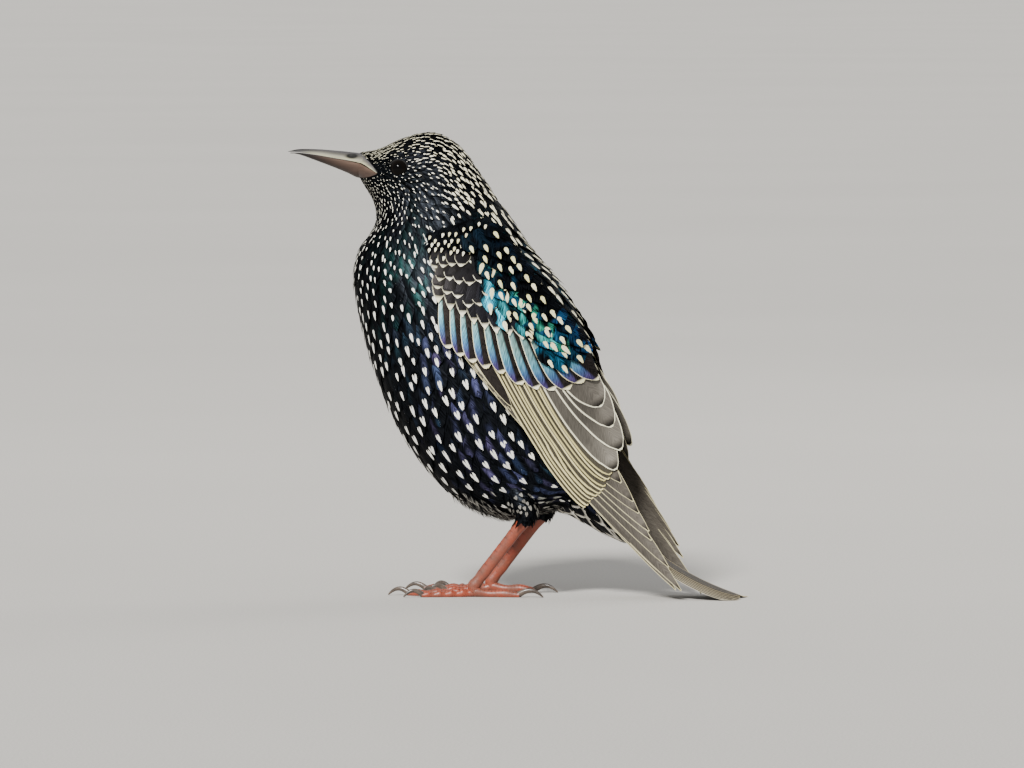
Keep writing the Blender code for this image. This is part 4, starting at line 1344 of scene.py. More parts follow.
@dataclass
class Thigh:
    """The feathered thigh between the belly and the bare ankle, as a tube that narrows downwards."""

    side: Side
    path: Line = (
        (-5.0, 10.0, 37.0, 4.6), (-0.5, 11.0, 33.6, 5.0), (2.6, 11.8, 30.0, 4.7), (4.2, 12.0, 26.6, 4.0),
        (3.2, 12.0, 23.4, 3.1), (1.6, 12.0, 20.8, 2.6),
    )

    def point(self, at: Array, phi: Array, height: Array) -> Array:
        """A place on the thigh: a circle square to the path, whose radius the path gives.

        Args:
            at: Number along the path.
            phi: Angle round it.
            height: Distance off the flesh.

        Returns:
            Places in millimetres.
        """
        at, phi, height = together(at, phi, height)
        x, y, z, radius = np.moveaxis(hermite(self.path, at), -1, 0)
        way = hermite(self.path, at + 0.02) - hermite(self.path, at - 0.02)
        size = np.hypot(way[..., 0], way[..., 2])
        reach = np.maximum(radius + height, 0.3)
        flat = reach * np.cos(phi) / size
        y = self.side.value * (y + reach * np.sin(phi))
        return np.stack((x + flat * way[..., 2], y, z - flat * way[..., 0]), -1)

    def build(self) -> None:
        """Builds the skin of the thigh and its short feathers."""
        rng = np.random.default_rng(31)
        rings = self.point(*ring_grid(np.linspace(0, 4, 30), 32), -0.7)
        skin = tube_mesh(f"thigh_skin_{self.side.word}", rings)
        show(skin, SkinFinish("down_on_thigh").build())
        roots = spiral_roots(self.point, lambda at, phi: 2.2 - 0.2 * at, 0.6, 3.6)
        (at, phi), n = roots.T, len(roots)
        length, half = 5.0 - 0.6 * at, 1.5 - 0.2 * at
        lie = spread_over(self.point, roots, length, half, rng, loose=0.12)
        high, marked, chance = rng.normal(0.35, 0.15, n), rng.random(n) < 0.45, rng.random(n)
        coat = Feathers(
            **lie, length=length, half=half, patch=np.stack((phi / 6.3, at / 8), -1), low=-0.7, high=high,
            arch=0.15, thick=0.15, point=0.9, curl=0.1,
            extra={
                "tint": BLACK, "mark_long": 1.6, "mark_wide": np.where(marked & (at < 2.7), 0.6, 0.001),
                "pale": mixed("8F8D86", "4A4843", chance),
            },
        )
        show(coat.mesh(f"coat_thigh_{self.side.word}", self.point, rng), COAT_FINISH.build())


# Wings and tail


@dataclass(frozen=True)
class Tract:
    """One tier of a wing: rows of vanes spread between two pairs of curves.

    roots and tips belong to the first row; last_roots and last_tips to the last one. Of half,
    tint and high, the first value is the first vane's, or row's, and the second the last one's.
    """

    name: str
    roots: Line
    tips: Line
    count: int
    half: Pair
    low: float
    high: Pair
    tilt: float
    thick: float
    finish: VaneFinish
    tint: tuple[str, str]
    pale: tuple[str, str]
    rows: int = 1
    last_roots: Line = ()
    last_tips: Line = ()
    point: float = 0.2
    shaft: float = 0.0
    arch: float = 0.15
    widest: float = 0.6
    mark: Pair = (0.01, 0.001)
    grid: tuple[int, int] = (14, 9)
    loose: float = 0.02
    dull: float = 0.0
    layer: float = 0.0
    gloss_below: float | None = None

    def lay(self, rng: np.random.Generator) -> Feathers:
        """Works out every vane of the tier.

        Every second row stands nearly half a place further along than the one before it.

        Args:
            rng: Source of the small differences.

        Returns:
            The tier's feathers.
        """
        row, place = np.divmod(np.arange(self.rows * self.count), self.count)
        down, share, n = row / max(self.rows - 1, 1), place / (self.count - 1), len(row)
        number = np.clip(share + (row % 2) * 0.45 / (self.count - 1), 0, 1)
        root, tip = curve_at(self.roots, number), curve_at(self.tips, number)
        if self.last_roots:
            root = root + (curve_at(self.last_roots, number) - root) * down[:, None]
            tip = tip + (curve_at(self.last_tips, number) - tip) * down[:, None]
        tip = tip + (tip - root) * rng.normal(0, self.loose, n)[:, None]
        axis = tip - root
        length = np.linalg.norm(axis, axis=1)
        lead = np.stack((axis[:, 1], -axis[:, 0]), -1) / length[:, None]
        half = np.interp(share, (0, 1), self.half) * rng.normal(1, 0.03, n)
        drop = rng.normal(0, 0.01, n) + self.layer * share
        tint = mixed(mixed(*self.tint, share), BLACK, rng.random(n) * self.dull - 0.1)
        if self.gloss_below:
            tint = mixed(BLACK, tint, 0.12 + 0.88 * smoothstep((self.gloss_below - tip[:, 1]) / 9))
        pale = mixed(*self.pale, rng.random(n))
        return Feathers(
            root=root, tip=tip, side=lead * half[:, None], length=length, half=half,
            patch=(root + (30.0, -60.0)) / 60, low=self.low + drop,
            high=np.interp(down, (0, 1), self.high) + drop, tilt=self.tilt / 2, arch=self.arch,
            thick=self.thick, point=self.point, shaft=self.shaft, widest=self.widest, stem=0.5,
            ridge=0.10, grid=self.grid,
            extra={
                "tint": tint * rng.normal(1, 0.08, n)[:, None], "pale": pale,
                "mark_long": self.mark[0], "mark_wide": self.mark[1],
            },
        )


QUILL = VaneFinish(
    "grey_brown_quill", metallic=0.2, roughness=0.45, spotted=False, contrast=(0.75, 1.28), barb_mm=0.2
)
# The primaries carry a painted sheen: their dark tint is lightened towards the tip.
PRIMARY_FINISH = replace(
    QUILL, name="primary_quill", lead_margin=0.2, trail_margin=0.16, tip_margin=0.4, dusk="14110E",
    painted_sheen=0.3,
)
PRIMARY_COVERT_FINISH = replace(
    QUILL, name="primary_covert_quill", lead_margin=0.16, trail_margin=0.12, tip_margin=0.3
)
SECONDARY_FINISH = replace(QUILL, name="secondary_quill", lead_margin=0.44, tip_margin=0.4)
# The tertials carry a stronger painted sheen: their dark tint is lightened towards the tip.
TERTIAL_FINISH = replace(
    QUILL, name="tertial_quill", lead_margin=0.42, trail_margin=0.25, tip_margin=0.5, dusk="120F0D",
    painted_sheen=0.5, metallic=0.4, roughness=0.34,
)
GREATER_FINISH = replace(
    QUILL, name="greater_covert_with_blue_gloss", lead_margin=0.4, tip_margin=1.3, metallic=0.75,
    ragged=0.5, roughness=0.34, inner="2A2624", inner_at=0.9, contrast=(0.45, 1.8),
    gloss=((0.0, "3A3048"), (3.0, "52487A"), (6.0, "5078A4"), (9.0, "68A8BC"), (14.0, "88B0AC")),
)
MEDIAN_FINISH = replace(
    QUILL, name="median_covert_with_buff_tip", lead_margin=0.6, trail_margin=0.5, tip_margin=2.0,
    margin_fade=5.0, ragged=0.8, metallic=0.5, roughness=0.4,
)
LESSER_FINISH = replace(
    QUILL, name="lesser_covert_with_pale_edge", lead_margin=0.4, trail_margin=0.36, tip_margin=1.1,
    margin_fade=4.0, ragged=0.5, roughness=0.5,
)
SCAPULAR_FINISH = VaneFinish(
    "scapular_with_green_gloss", metallic=0.9, roughness=0.32, contrast=(0.05, 2.6), barb_mm=0.24,
    notch=0.15, streak_mm=2.6, patch_mm=5.0,
)
RECTRIX_FINISH = replace(
    QUILL, name="tail_quill", lead_margin=0.45, trail_margin=0.1, tip_margin=0.35, roughness=0.6,
    metallic=0.05,
)
TAIL_COVERT_FINISH = VaneFinish(
    "tail_covert_with_buff_chevron", spotted=False, lead_margin=1.25, trail_margin=1.25, tip_margin=2.0,
    margin_fade=7.0, metallic=0.5, ragged=0.4,
)

# The tiers of a wing, from the longest quills up to the coverts and scapulars
TRACTS = (
    Tract(
        "primaries", ((-16.5, 83.0), (-13.0, 82.5), (-9.0, 83.0)),
        ((49.6, 6.6), (52.9, 3.0), (50.0, 9.6), (46.4, 16.4), (42.6, 23.0), (39.0, 29.2), (35.6, 34.6)),
        9, (3.1, 5.0), 0.45, (0.75, 0.75), 0.55, 0.35, PRIMARY_FINISH, ("4A4640", "403C36"),
        ("A8A080", "C0B894"), point=0.4, shaft=0.35, widest=0.5, grid=(26, 9),
    ),
    Tract(
        "secondaries", ((-9.0, 84.0), (-2.0, 83.0), (5.0, 82.0)), ((23.6, 29.0), (27.6, 33.4), (30.6, 38.6)),
        11, (3.4, 4.9), 0.7, (0.85, 0.85), 0.8, 0.2, SECONDARY_FINISH, ("3A362C", "444036"),
        ("BFB47C", "DBD09E"), point=0.15, shaft=0.3, arch=0.04, grid=(24, 7), layer=0.5, loose=0.006,
    ),
    Tract(
        "tertials", ((6.0, 82.0), (9.0, 82.0), (11.0, 83.0)),
        ((31.6, 40.6), (32.8, 46.6), (30.2, 53.0), (26.6, 59.0)),
        4, (5.4, 5.0), 1.3, (1.5, 1.5), 1.0, 0.4, TERTIAL_FINISH, ("5A564F", "4E4A44"),
        ("DED8B8", "E8E4CC"), shaft=0.25, grid=(24, 11),
    ),
    Tract(
        "alula_and_primary_coverts", ((-18.6, 92.0), (-17.2, 90.0)),
        ((-9.5, 73.8), (-3.6, 66.6), (1.4, 60.6)),
        7, (1.4, 1.9), 0.75, (0.95, 0.95), 0.5, 0.2, PRIMARY_COVERT_FINISH, ("1E1A18", "26221F"),
        ("C4BC94", "DCD4B0"), point=0.3, shaft=0.2, grid=(16, 7), layer=0.45, loose=0.0,
    ),
    Tract(
        "greater_coverts", ((-19.6, 96.5), (-11.4, 94.2), (-3.4, 90.6), (4.6, 87.0), (9.6, 86.0)),
        ((-17.4, 78.6), (-8.0, 73.2), (4.0, 67.6), (15.0, 65.6), (24.5, 68.2)),
        11, (2.5, 3.5), 1.45, (2.0, 2.0), 0.6, 0.35, GREATER_FINISH, ("2C4A66", "33385E"),
        ("E4DCB0", "F6F0D4"), point=0.12, shaft=0.3, widest=0.7, grid=(18, 9),
    ),
    Tract(
        "median_coverts", ((-20.4, 105.0), (-12.4, 102.6), (-6.0, 100.0), (1.0, 97.0)),
        ((-21.0, 92.6), (-12.4, 87.6), (-4.6, 84.0), (4.0, 81.0)),
        8, (2.5, 2.9), 1.7, (2.5, 2.5), 0.5, 0.35, MEDIAN_FINISH, ("1B1917", "1A1B21"),
        ("E8E2BC", "F8F4E0"), point=0.75, shaft=0.1,
    ),
    Tract(
        "lesser_coverts", ((-21.5, 111.0), (-16.0, 112.0), (-9.0, 112.0)),
        ((-22.8, 103.6), (-16.6, 103.6), (-8.6, 102.0)),
        6, (2.2, 2.6), 0.8, (2.0, 2.6), 0.35, 0.3, LESSER_FINISH, ("181614", "151415"), ("B8B294", "F2EED6"),
        3, ((-20.6, 103.0), (-13.5, 101.4), (-6.5, 99.4)), ((-21.8, 95.6), (-13.6, 92.0), (-5.0, 89.6)),
        point=0.55, widest=0.62, grid=(12, 7), loose=0.13,
    ),
    Tract(
        "scapulars", ((-8.0, 112.0), (-4.0, 108.0), (0.5, 103.0)),
        ((-9.6, 100.0), (-4.0, 95.6), (3.0, 90.0)),
        4, (3.0, 3.3), 1.5, (2.7, 3.0), 0.35, 0.3, SCAPULAR_FINISH, ("52C8E6", "48C8A6"),
        ("E2D8A4", "F6F0D2"), 4, ((-6.4, 96.0), (0.4, 93.4), (7.0, 89.0)),
        ((-3.4, 84.0), (6.6, 80.4), (17.0, 75.4)),
        point=0.8, mark=(3.5, 0.7), widest=0.55, loose=0.08, dull=0.7, gloss_below=101.0,
    ),
    Tract(
        "mantle_edge", ((-15.0, 113.6), (-8.6, 116.6)), ((-12.0, 106.6), (-5.4, 109.8)),
        3, (2.5, 2.5), 1.4, (3.2, 3.2), 0.3, 0.3, SCAPULAR_FINISH, ("2C6A88", "2A5C88"),
        ("DCD69A", "F2ECC4"), 12, ((11.0, 77.0), (18.6, 81.4)), ((14.4, 69.6), (21.6, 74.6)),
        point=0.8, mark=(2.8, 0.56), widest=0.55, grid=(8, 5), loose=0.1, dull=1.3, gloss_below=100.0,
    ),
    Tract(
        "collar", ((-25.0, 114.4), (-17.0, 117.4), (-9.0, 119.2)),
        ((-25.4, 110.6), (-17.6, 113.4), (-9.8, 114.8)),
        9, (1.5, 1.7), 0.5, (2.0, 2.0), 0.3, 0.25, COAT_FINISH, ("0B0D0F", "10181C"), ("E0D8AE", "F4F0DC"),
        4, ((-24.8, 109.2), (-17.0, 111.4), (-9.4, 112.0)), ((-25.0, 104.6), (-17.6, 106.8), (-10.4, 106.6)),
        point=0.8, mark=(1.6, 0.42), widest=0.55, grid=(8, 5), loose=0.16, dull=1.0,
    ),
)


@dataclass
class Wing:
    """One folded wing: the arm under its skin, and the tiers of feathers in their order."""

    side: Side
    face: WingFace
    leading: Line = (
        (-16.5, 110.0), (-19.6, 104.5), (-20.4, 97.0), (-19.6, 89.5), (-15.6, 81.0),
        (-7.0, 70.6), (3.2, 58.0), (13.4, 45.6), (21.5, 37.0),
    )
    dorsal: Line = (
        (-8.0, 110.5), (-3.0, 106.5), (2.5, 100.0), (7.5, 93.0), (12.5, 84.0),
        (17.0, 74.0), (21.5, 64.0), (25.5, 54.5), (27.5, 44.5),
    )
    thick: Row = (0.9, 1.2, 1.4, 1.5, 1.4, 1.2, 1.0, 0.8, 0.5)

    def build(self) -> None:
        """Builds the arm and every tier of feathers."""
        place, word = partial(self.face.point, self.side), self.side.word
        down, t = np.linspace(0, 1, 40), np.linspace(0, 1, 13)
        lead, back = curve_at(self.leading, down)[:, None], curve_at(self.dorsal, down)[:, None]
        x, z = np.moveaxis(lead + (back - lead) * t[:, None], -1, 0)
        swell = curve_at(np.array(self.thick)[:, None], down) * (0.3 + 0.7 * np.sin(math.pi * t) ** 0.6)
        mesh = tube_mesh(f"wing_arm_{word}", np.hstack((place(x, z, swell), place(x, z, 0.05)[:, ::-1])))
        show(mesh, SkinFinish("down_on_wing_arm", "3A3630").build(), (f"wing_{word}",))
        rng = np.random.default_rng(5 + self.side.value)
        for tract in TRACTS:
            feathers = tract.lay(rng)
            fray = 0.12 / float(feathers.length.mean())
            mesh = feathers.mesh(f"{tract.name}_{word}", place, rng, fray)
            show(mesh, tract.finish.build(), sharp_deg=60)


@dataclass
class Tail:
    """The tail: its fleshy root, twelve quills, and the coverts above and below."""

    line: TailLine
    seed: int = 23

    def build(self) -> None:
        """Builds the root, the quills of both sides and the coverts."""
        rings = self.line.flesh_point(*ring_grid(np.linspace(-1.0, 28, 30), 48), -0.9)
        skin = SkinFinish("down_on_tail_root").build()
        show(tube_mesh("tail_root", rings), skin, ("tail",))
        rng = np.random.default_rng(self.seed)
        for side in Side:
            self._build_quills(side, rng)
        self._build_coverts()

    def _over_floor(self, side: Side, along: Array, off: Array, rise: Array) -> Array:
        """A place on one side of the tail, held above the floor.

        Args:
            side: Which side.
            along: Length from the torso's end.
            off: Distance from the middle plane.
            rise: Distance off the tail's curve.

        Returns:
            Places in millimetres; the height eases into a small clearance by a falling exponential.
        """
        points = self.line.point(along, side.value * off, rise)
        low = np.minimum(points[..., 2] - 0.4, 0)
        points[..., 2] = np.maximum(points[..., 2], 0.05 + 0.35 * np.exp(low / 0.35))
        return points

    def _build_quills(self, side: Side, rng: np.random.Generator) -> None:
        """Six quills of one side, the middle one on top, each lying over the next one outwards.

        Args:
            side: Which side.
            rng: Source of the small unevenness.
        """
        share = np.arange(6) / 5
        root = np.stack((10.0 + 0 * share, 0.5 + 3.2 * share), -1)
        tip = np.stack((self.line.length - 2.4 * (1 - share) - 1.4 * share**3, 1.5 + 7.6 * share), -1)
        axis = tip - root
        length = np.linalg.norm(axis, axis=1)
        lead = np.stack((-axis[:, 1], axis[:, 0]), -1) / length[:, None]
        half, height = 4.2 - 0.8 * share, 0.75 - 1.35 * share
        patch = np.stack((0.5 - side.value * (0.02 + 0.04 * share), 0.44 + 0 * share), -1)
        quills = Feathers(
            root=root, tip=tip, side=lead * half[:, None], length=length, half=half, patch=patch,
            low=height, high=height + 0.15, tilt=-0.12, arch=0.12, thick=0.30, point=0.35, shaft=0.2,
            widest=0.8, stem=0.5, ridge=0.12, grid=(26, 9),
            extra={
                "tint": mixed("3A352F", "453E35", share), "pale": mixed("B8A985", "E4D9BC", share),
                "mark_long": 0.01, "mark_wide": 0.001,
            },
        )
        mesh = quills.mesh(f"tail_quills_{side.word}", partial(self._over_floor, side), rng, fray=0.006)
        show(mesh, RECTRIX_FINISH.build(), sharp_deg=60)

    def _build_coverts(self) -> None:
        """Coverts on a spiral round the root, longest underneath, with buff chevrons."""
        rng = np.random.default_rng(self.seed + 1)

        def gap(along: Array, phi: Array) -> Array:
            """Spacing of the coverts, closer to the torso."""
            return 4.9 + 0 * phi + 0.8 * smoothstep(along / 20)

        roots = spiral_roots(self.line.flesh_point, gap, -13.0, 21.0)
        (along, phi), n = roots.T, len(roots)
        under = smoothstep((np.cos(phi) + 0.3) / 0.8)
        length = (11.0 + 4.0 * under) * rng.normal(1, 0.05, n)
        half = (3.5 + 0.6 * under) * rng.normal(1, 0.05, n)
        lie = spread_over(self.line.flesh_point, roots, length, half, rng, loose=0.05)
        lie["tip"][:, 1] = phi + (lie["tip"][:, 1] - phi) * 0.5
        high, chance = 0.25 + rng.normal(0, 0.1, n), rng.uniform(0.7, 1, n)
        coverts = Feathers(
            **lie, length=length, half=half, patch=np.stack((phi / 6.3, along / 70 + 0.3), -1), low=-0.9,
            high=high, arch=0.4, thick=0.25, point=0.75, curl=0.15, grid=(11, 7),
            extra={
                "tint": BLACK, "pale": mixed("8A8068", "DCD8CC", under * chance + 0.2),
                "mark_long": 4.0 + 1.5 * under, "mark_wide": 1.2 + 0.6 * under,
            },
        )
        mesh = coverts.mesh("tail_coverts", self.line.flesh_point, rng)
        show(mesh, TAIL_COVERT_FINISH.build())


# Bill and eyes


@dataclass
class Bill:
    """Upper and lower mandible: horn grown in layers, slate on the ridge and pale at the edges."""

    trunk: Trunk
    x: Row = (-49.8, -52.8, -55.6, -59.8, -65.5, -70.9, -74.4)
    culmen: Row = (138.6, 139.0, 139.3, 139.7, 140.1, 140.1, 139.4)
    mouth: Row = (135.3, 136.0, 136.6, 137.3, 138.3, 139.0, 139.15)
    lower: Row = (130.8, 131.2, 132.5, 134.2, 136.3, 138.2, 138.95)
    half: Row = (4.9, 4.35, 3.6, 2.9, 2.1, 1.2, 0.35)
    gap: float = 0.3
    nostril: Pair = (-54.2, 138.05)

    @staticmethod
    def edges(at: Array) -> tuple[Array, Array, Array]:
        """Angles on the head of the horn's lower edge, the mouth line and the horn's upper edge.

        All three run from the bill's base and meet in the corner of the mouth, at station 1.5.

        Args:
            at: Station numbers.

        Returns:
            The three angles from the throat's midline.
        """
        share = np.clip(at / 1.5, 0, 1)
        return 0.42 + 0.95 * share**0.8, 1.79 - 0.42 * share, 2.72 - 1.35 * share**0.7

    @staticmethod
    def covers(at: Array, turn: Array) -> Array:
        """Whether places on the head, by station and angle from the throat, lie under horn."""
        low, _, high = Bill.edges(at)
        return (at < 1.4) & (turn > low + 0.06) & (turn < high - 0.06)

    def build(self) -> None:
        """Builds both mandibles, and the thin horn that runs on from them to the mouth's corners."""
        for upper in (True, False):
            self._mandible(upper)
            for side in Side:
                self._gape(upper, side)

    def _gape(self, upper: bool, side: Side) -> None:
        """The horn beside the mouth: a thin wedge on the face, thickest along the mouth line.

        Args:
            upper: Whether it belongs to the upper mandible.
            side: Which side of the face.
        """
        at, v = np.meshgrid(np.linspace(0.0, 1.46, 34), np.linspace(0, 1, 14), indexing="ij")
        low, line, high = self.edges(at)
        line = line + (0.035 if upper else -0.035) * (1.5 - at)
        phi = line + ((high if upper else low) - line) * v
        phi = TURN - phi if side is Side.RIGHT else phi
        lip = (0.3 * bell(v, 0, 0.3) + 0.1) * smoothstep((at + 0.05) / 0.5)
        outer, inner = self.trunk.point(at, phi, lip * (1 - 0.3 * at)), self.trunk.point(at, phi, -0.4)
        mesh = tube_mesh(f"gape_{self._word(upper)}_{side.word}", np.hstack((outer, inner[:, ::-1])))
        fade = np.hstack((v, v[:, ::-1]))
        pale = np.clip(self._paleness(upper, fade, 0.0), 0, 1)
        write_rings(mesh, pale_edge=pale, dusky=0 * fade, pit=0 * fade)
        show(mesh, self._finish(upper).build(), sharp_deg=40)

    @staticmethod
    def _word(upper: bool) -> str:
        """The mandible's name, as the nodes use it."""
        return "upper" if upper else "lower"

    @staticmethod
    def _paleness(upper: bool, rise: Array, way: Array | float) -> Array:
        """How pale the horn is, the same on a mandible and on the wedge behind it.

        Args:
            upper: Whether it belongs to the upper mandible.
            rise: Height off the mouth line as a share of the horn's own.
            way: Share of the way from the mandible's base to its tip.

        Returns:
            The pale share: most at the cutting edge, none at the tip.
        """
        edge = np.clip(1.4 * np.exp(-rise / 0.3), 0, 1)
        if upper:
            return edge * smoothstep((0.9 - way) / 0.2)
        return smoothstep((0.75 - way) / 0.35) * (0.2 + 0.6 * edge)

    @staticmethod
    def _finish(upper: bool) -> HornFinish:
        """The horn of one mandible: the upper one's, or the lower one's."""
        if upper:
            return HornFinish("slate_horn_of_upper_mandible", "34323A", "9C987C")
        return HornFinish("brownish_horn_of_lower_mandible", "241A17", "5A463A")

    def _mandible(self, upper: bool) -> None:
        """One mandible: rings from root to tip, each a rounded ridge over a flat cutting face.

        The nostril is a hollow in the upper one's sides, a steep bell in its own two radii, with
        a low lip above it.

        Args:
            upper: Whether it is the upper one.
        """
        down, theta = np.linspace(0, 1, 70), np.linspace(0, math.pi, 40)
        table = np.column_stack((self.x, self.culmen, self.mouth, self.lower, self.half))
        x, culmen, mouth, lower, half = curve_at(table, down).T[..., None]
        if not upper:
            x, half = x[0] + (x - x[0]) * 0.968, half * 0.94
        x, way = x + 0 * theta, down[:, None] + 0 * theta
        y, rise = half * np.cos(theta), np.sin(theta) ** 0.85
        if upper:
            edge = mouth + self.gap / 2
            z = edge + (culmen - edge) * rise
            dx, dz = (x - self.nostril[0]) / 1.7, (z - self.nostril[1]) / 0.75
            inward = 0.75 * np.exp(-((dx**2 + dz**2) ** 1.5))
            inward = inward - 0.16 * np.exp(-((dx**2 + (dz - 1.25) ** 2) ** 1.2))
        else:
            edge = mouth - self.gap / 2
            z = edge - np.maximum(edge - lower, 0.25) * rise
            inward = 0 * z
        y = y - np.sign(y) * inward * (np.abs(y) > 0.3)
        mesh = tube_mesh(f"bill_{self._word(upper)}_horn", self.trunk.turned(np.stack((x, y, z), -1)))
        # The nostril's hollow is painted near-black by pit: painted shade in the recess.
        pale, pit = self._paleness(upper, rise + 0 * x, way), np.clip(inward / 0.4, 0, 1)
        write_rings(mesh, pale_edge=pale, pit=pit, dusky=smoothstep((way - 0.6) / 0.3))
        show(mesh, self._finish(upper).build(), (f"bill_{self._word(upper)}",), sharp_deg=40)


@dataclass
class Eye:
    """Eyeball with a bulging cornea, and the ring of bare lid round it."""

    side: Side
    trunk: Trunk
    opening: float = 2.65
    lid: float = 0.32

    def build(self) -> None:
        """Builds the eyeball in the box of its solid, then the lid."""
        low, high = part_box(f"eye_{self.side.word}")
        centre = np.array((low + high) / 2) / MM - (SHIFT_X, 0, 0)
        radius = float((high - low)[2]) / MM / 2
        pivot = np.array((*self.trunk.pivot, 0.0))
        out = self.trunk.turned(pivot + (-0.22, self.side.value * 0.97, 0.10)) - self.trunk.turned(pivot)
        out = out / np.linalg.norm(out)
        across = np.cross(out, UP)
        across = across / np.linalg.norm(across)
        upward = np.cross(across, out)

        def place(wide: Array, tall: Array, height: Array) -> Array:
            """A place off the eye's centre by three steps along its own axes."""
            steps = np.stack(together(wide, tall, height), -1)
            return centre + steps @ np.array((across, upward, out))

        self._ball(place, radius)
        self._lid(place, radius)

    def _ball(self, place: Place, radius: float) -> None:
        """A sphere in rings about its outward axis, with the cornea raised by a low bell.

        Args:
            place: The eye's own axes.
            radius: Radius of the ball.
        """
        polar, round_ = ring_grid(np.linspace(0.02, math.pi - 0.02, 48), 48)
        reach = radius * (1 + 0.02 * bell(polar, 0, 0.6))
        flat = reach * np.sin(polar)
        rings = place(flat * np.cos(round_), flat * np.sin(round_), reach * np.cos(polar))
        mesh = tube_mesh(f"eyeball_{self.side.word}", rings)
        write_values(mesh, "polar", np.append(polar, (0.0, math.pi)) / math.pi)
        finish = EyeFinish("wet_cornea_over_dark_iris")
        show(mesh, finish.build(), (f"eye_{self.side.word}",))

    def _lid(self, place: Place, radius: float) -> None:
        """A rounded rim round the opening, a little pointed fore and aft, with fine beads.

        Args:
            place: The eye's own axes.
            radius: Radius of the ball, which the rim sits on.
        """
        round_, section = ring_grid(np.arange(96) * TURN / 96, 16)
        beads = self.lid * (1 + 0.10 * np.cos(24 * round_))
        away = self.opening * (1 + 0.05 * np.cos(2 * round_)) + self.lid * 0.55 + beads * np.cos(section)
        lift = math.sqrt(max(radius**2 - self.opening**2, 0.01)) - 0.1
        height = lift + 0.7 * beads * np.sin(section)
        points = place(away * np.cos(round_), away * np.sin(round_) * 0.96, height).reshape(-1, 3)
        quads = grid_quads(97, 16, True) % len(points)
        finish = MottledFinish(
            "bare_dark_lid_skin", "090808", "100F0E", roughness=0.7, patch_mm=0.8, grain_mm=0.25,
            specular=0.2,
        )
        show(quad_mesh(f"eyelid_{self.side.word}", points, quads), finish.build())


# Legs


@dataclass(frozen=True)
class Toe:
    """One toe: heading in degrees off straight ahead, length, claw's length, radius and joints."""

    name: str
    degrees: float
    length: float
    claw: float
    radius: float
    joints: int

    def way(self, side: Side) -> Array:
        """The level direction in which the toe of one side's foot points."""
        heading = math.radians(self.degrees)
        return np.array((-math.cos(heading), side.value * math.sin(heading), 0.0))

    def pads(self, at: Array | float) -> Array:
        """Swelling at the joints, as a cosine of the way along the toe."""
        return 1 + 0.16 * np.cos(TURN * at * (self.joints + 0.5)) * smoothstep(at / 0.05)


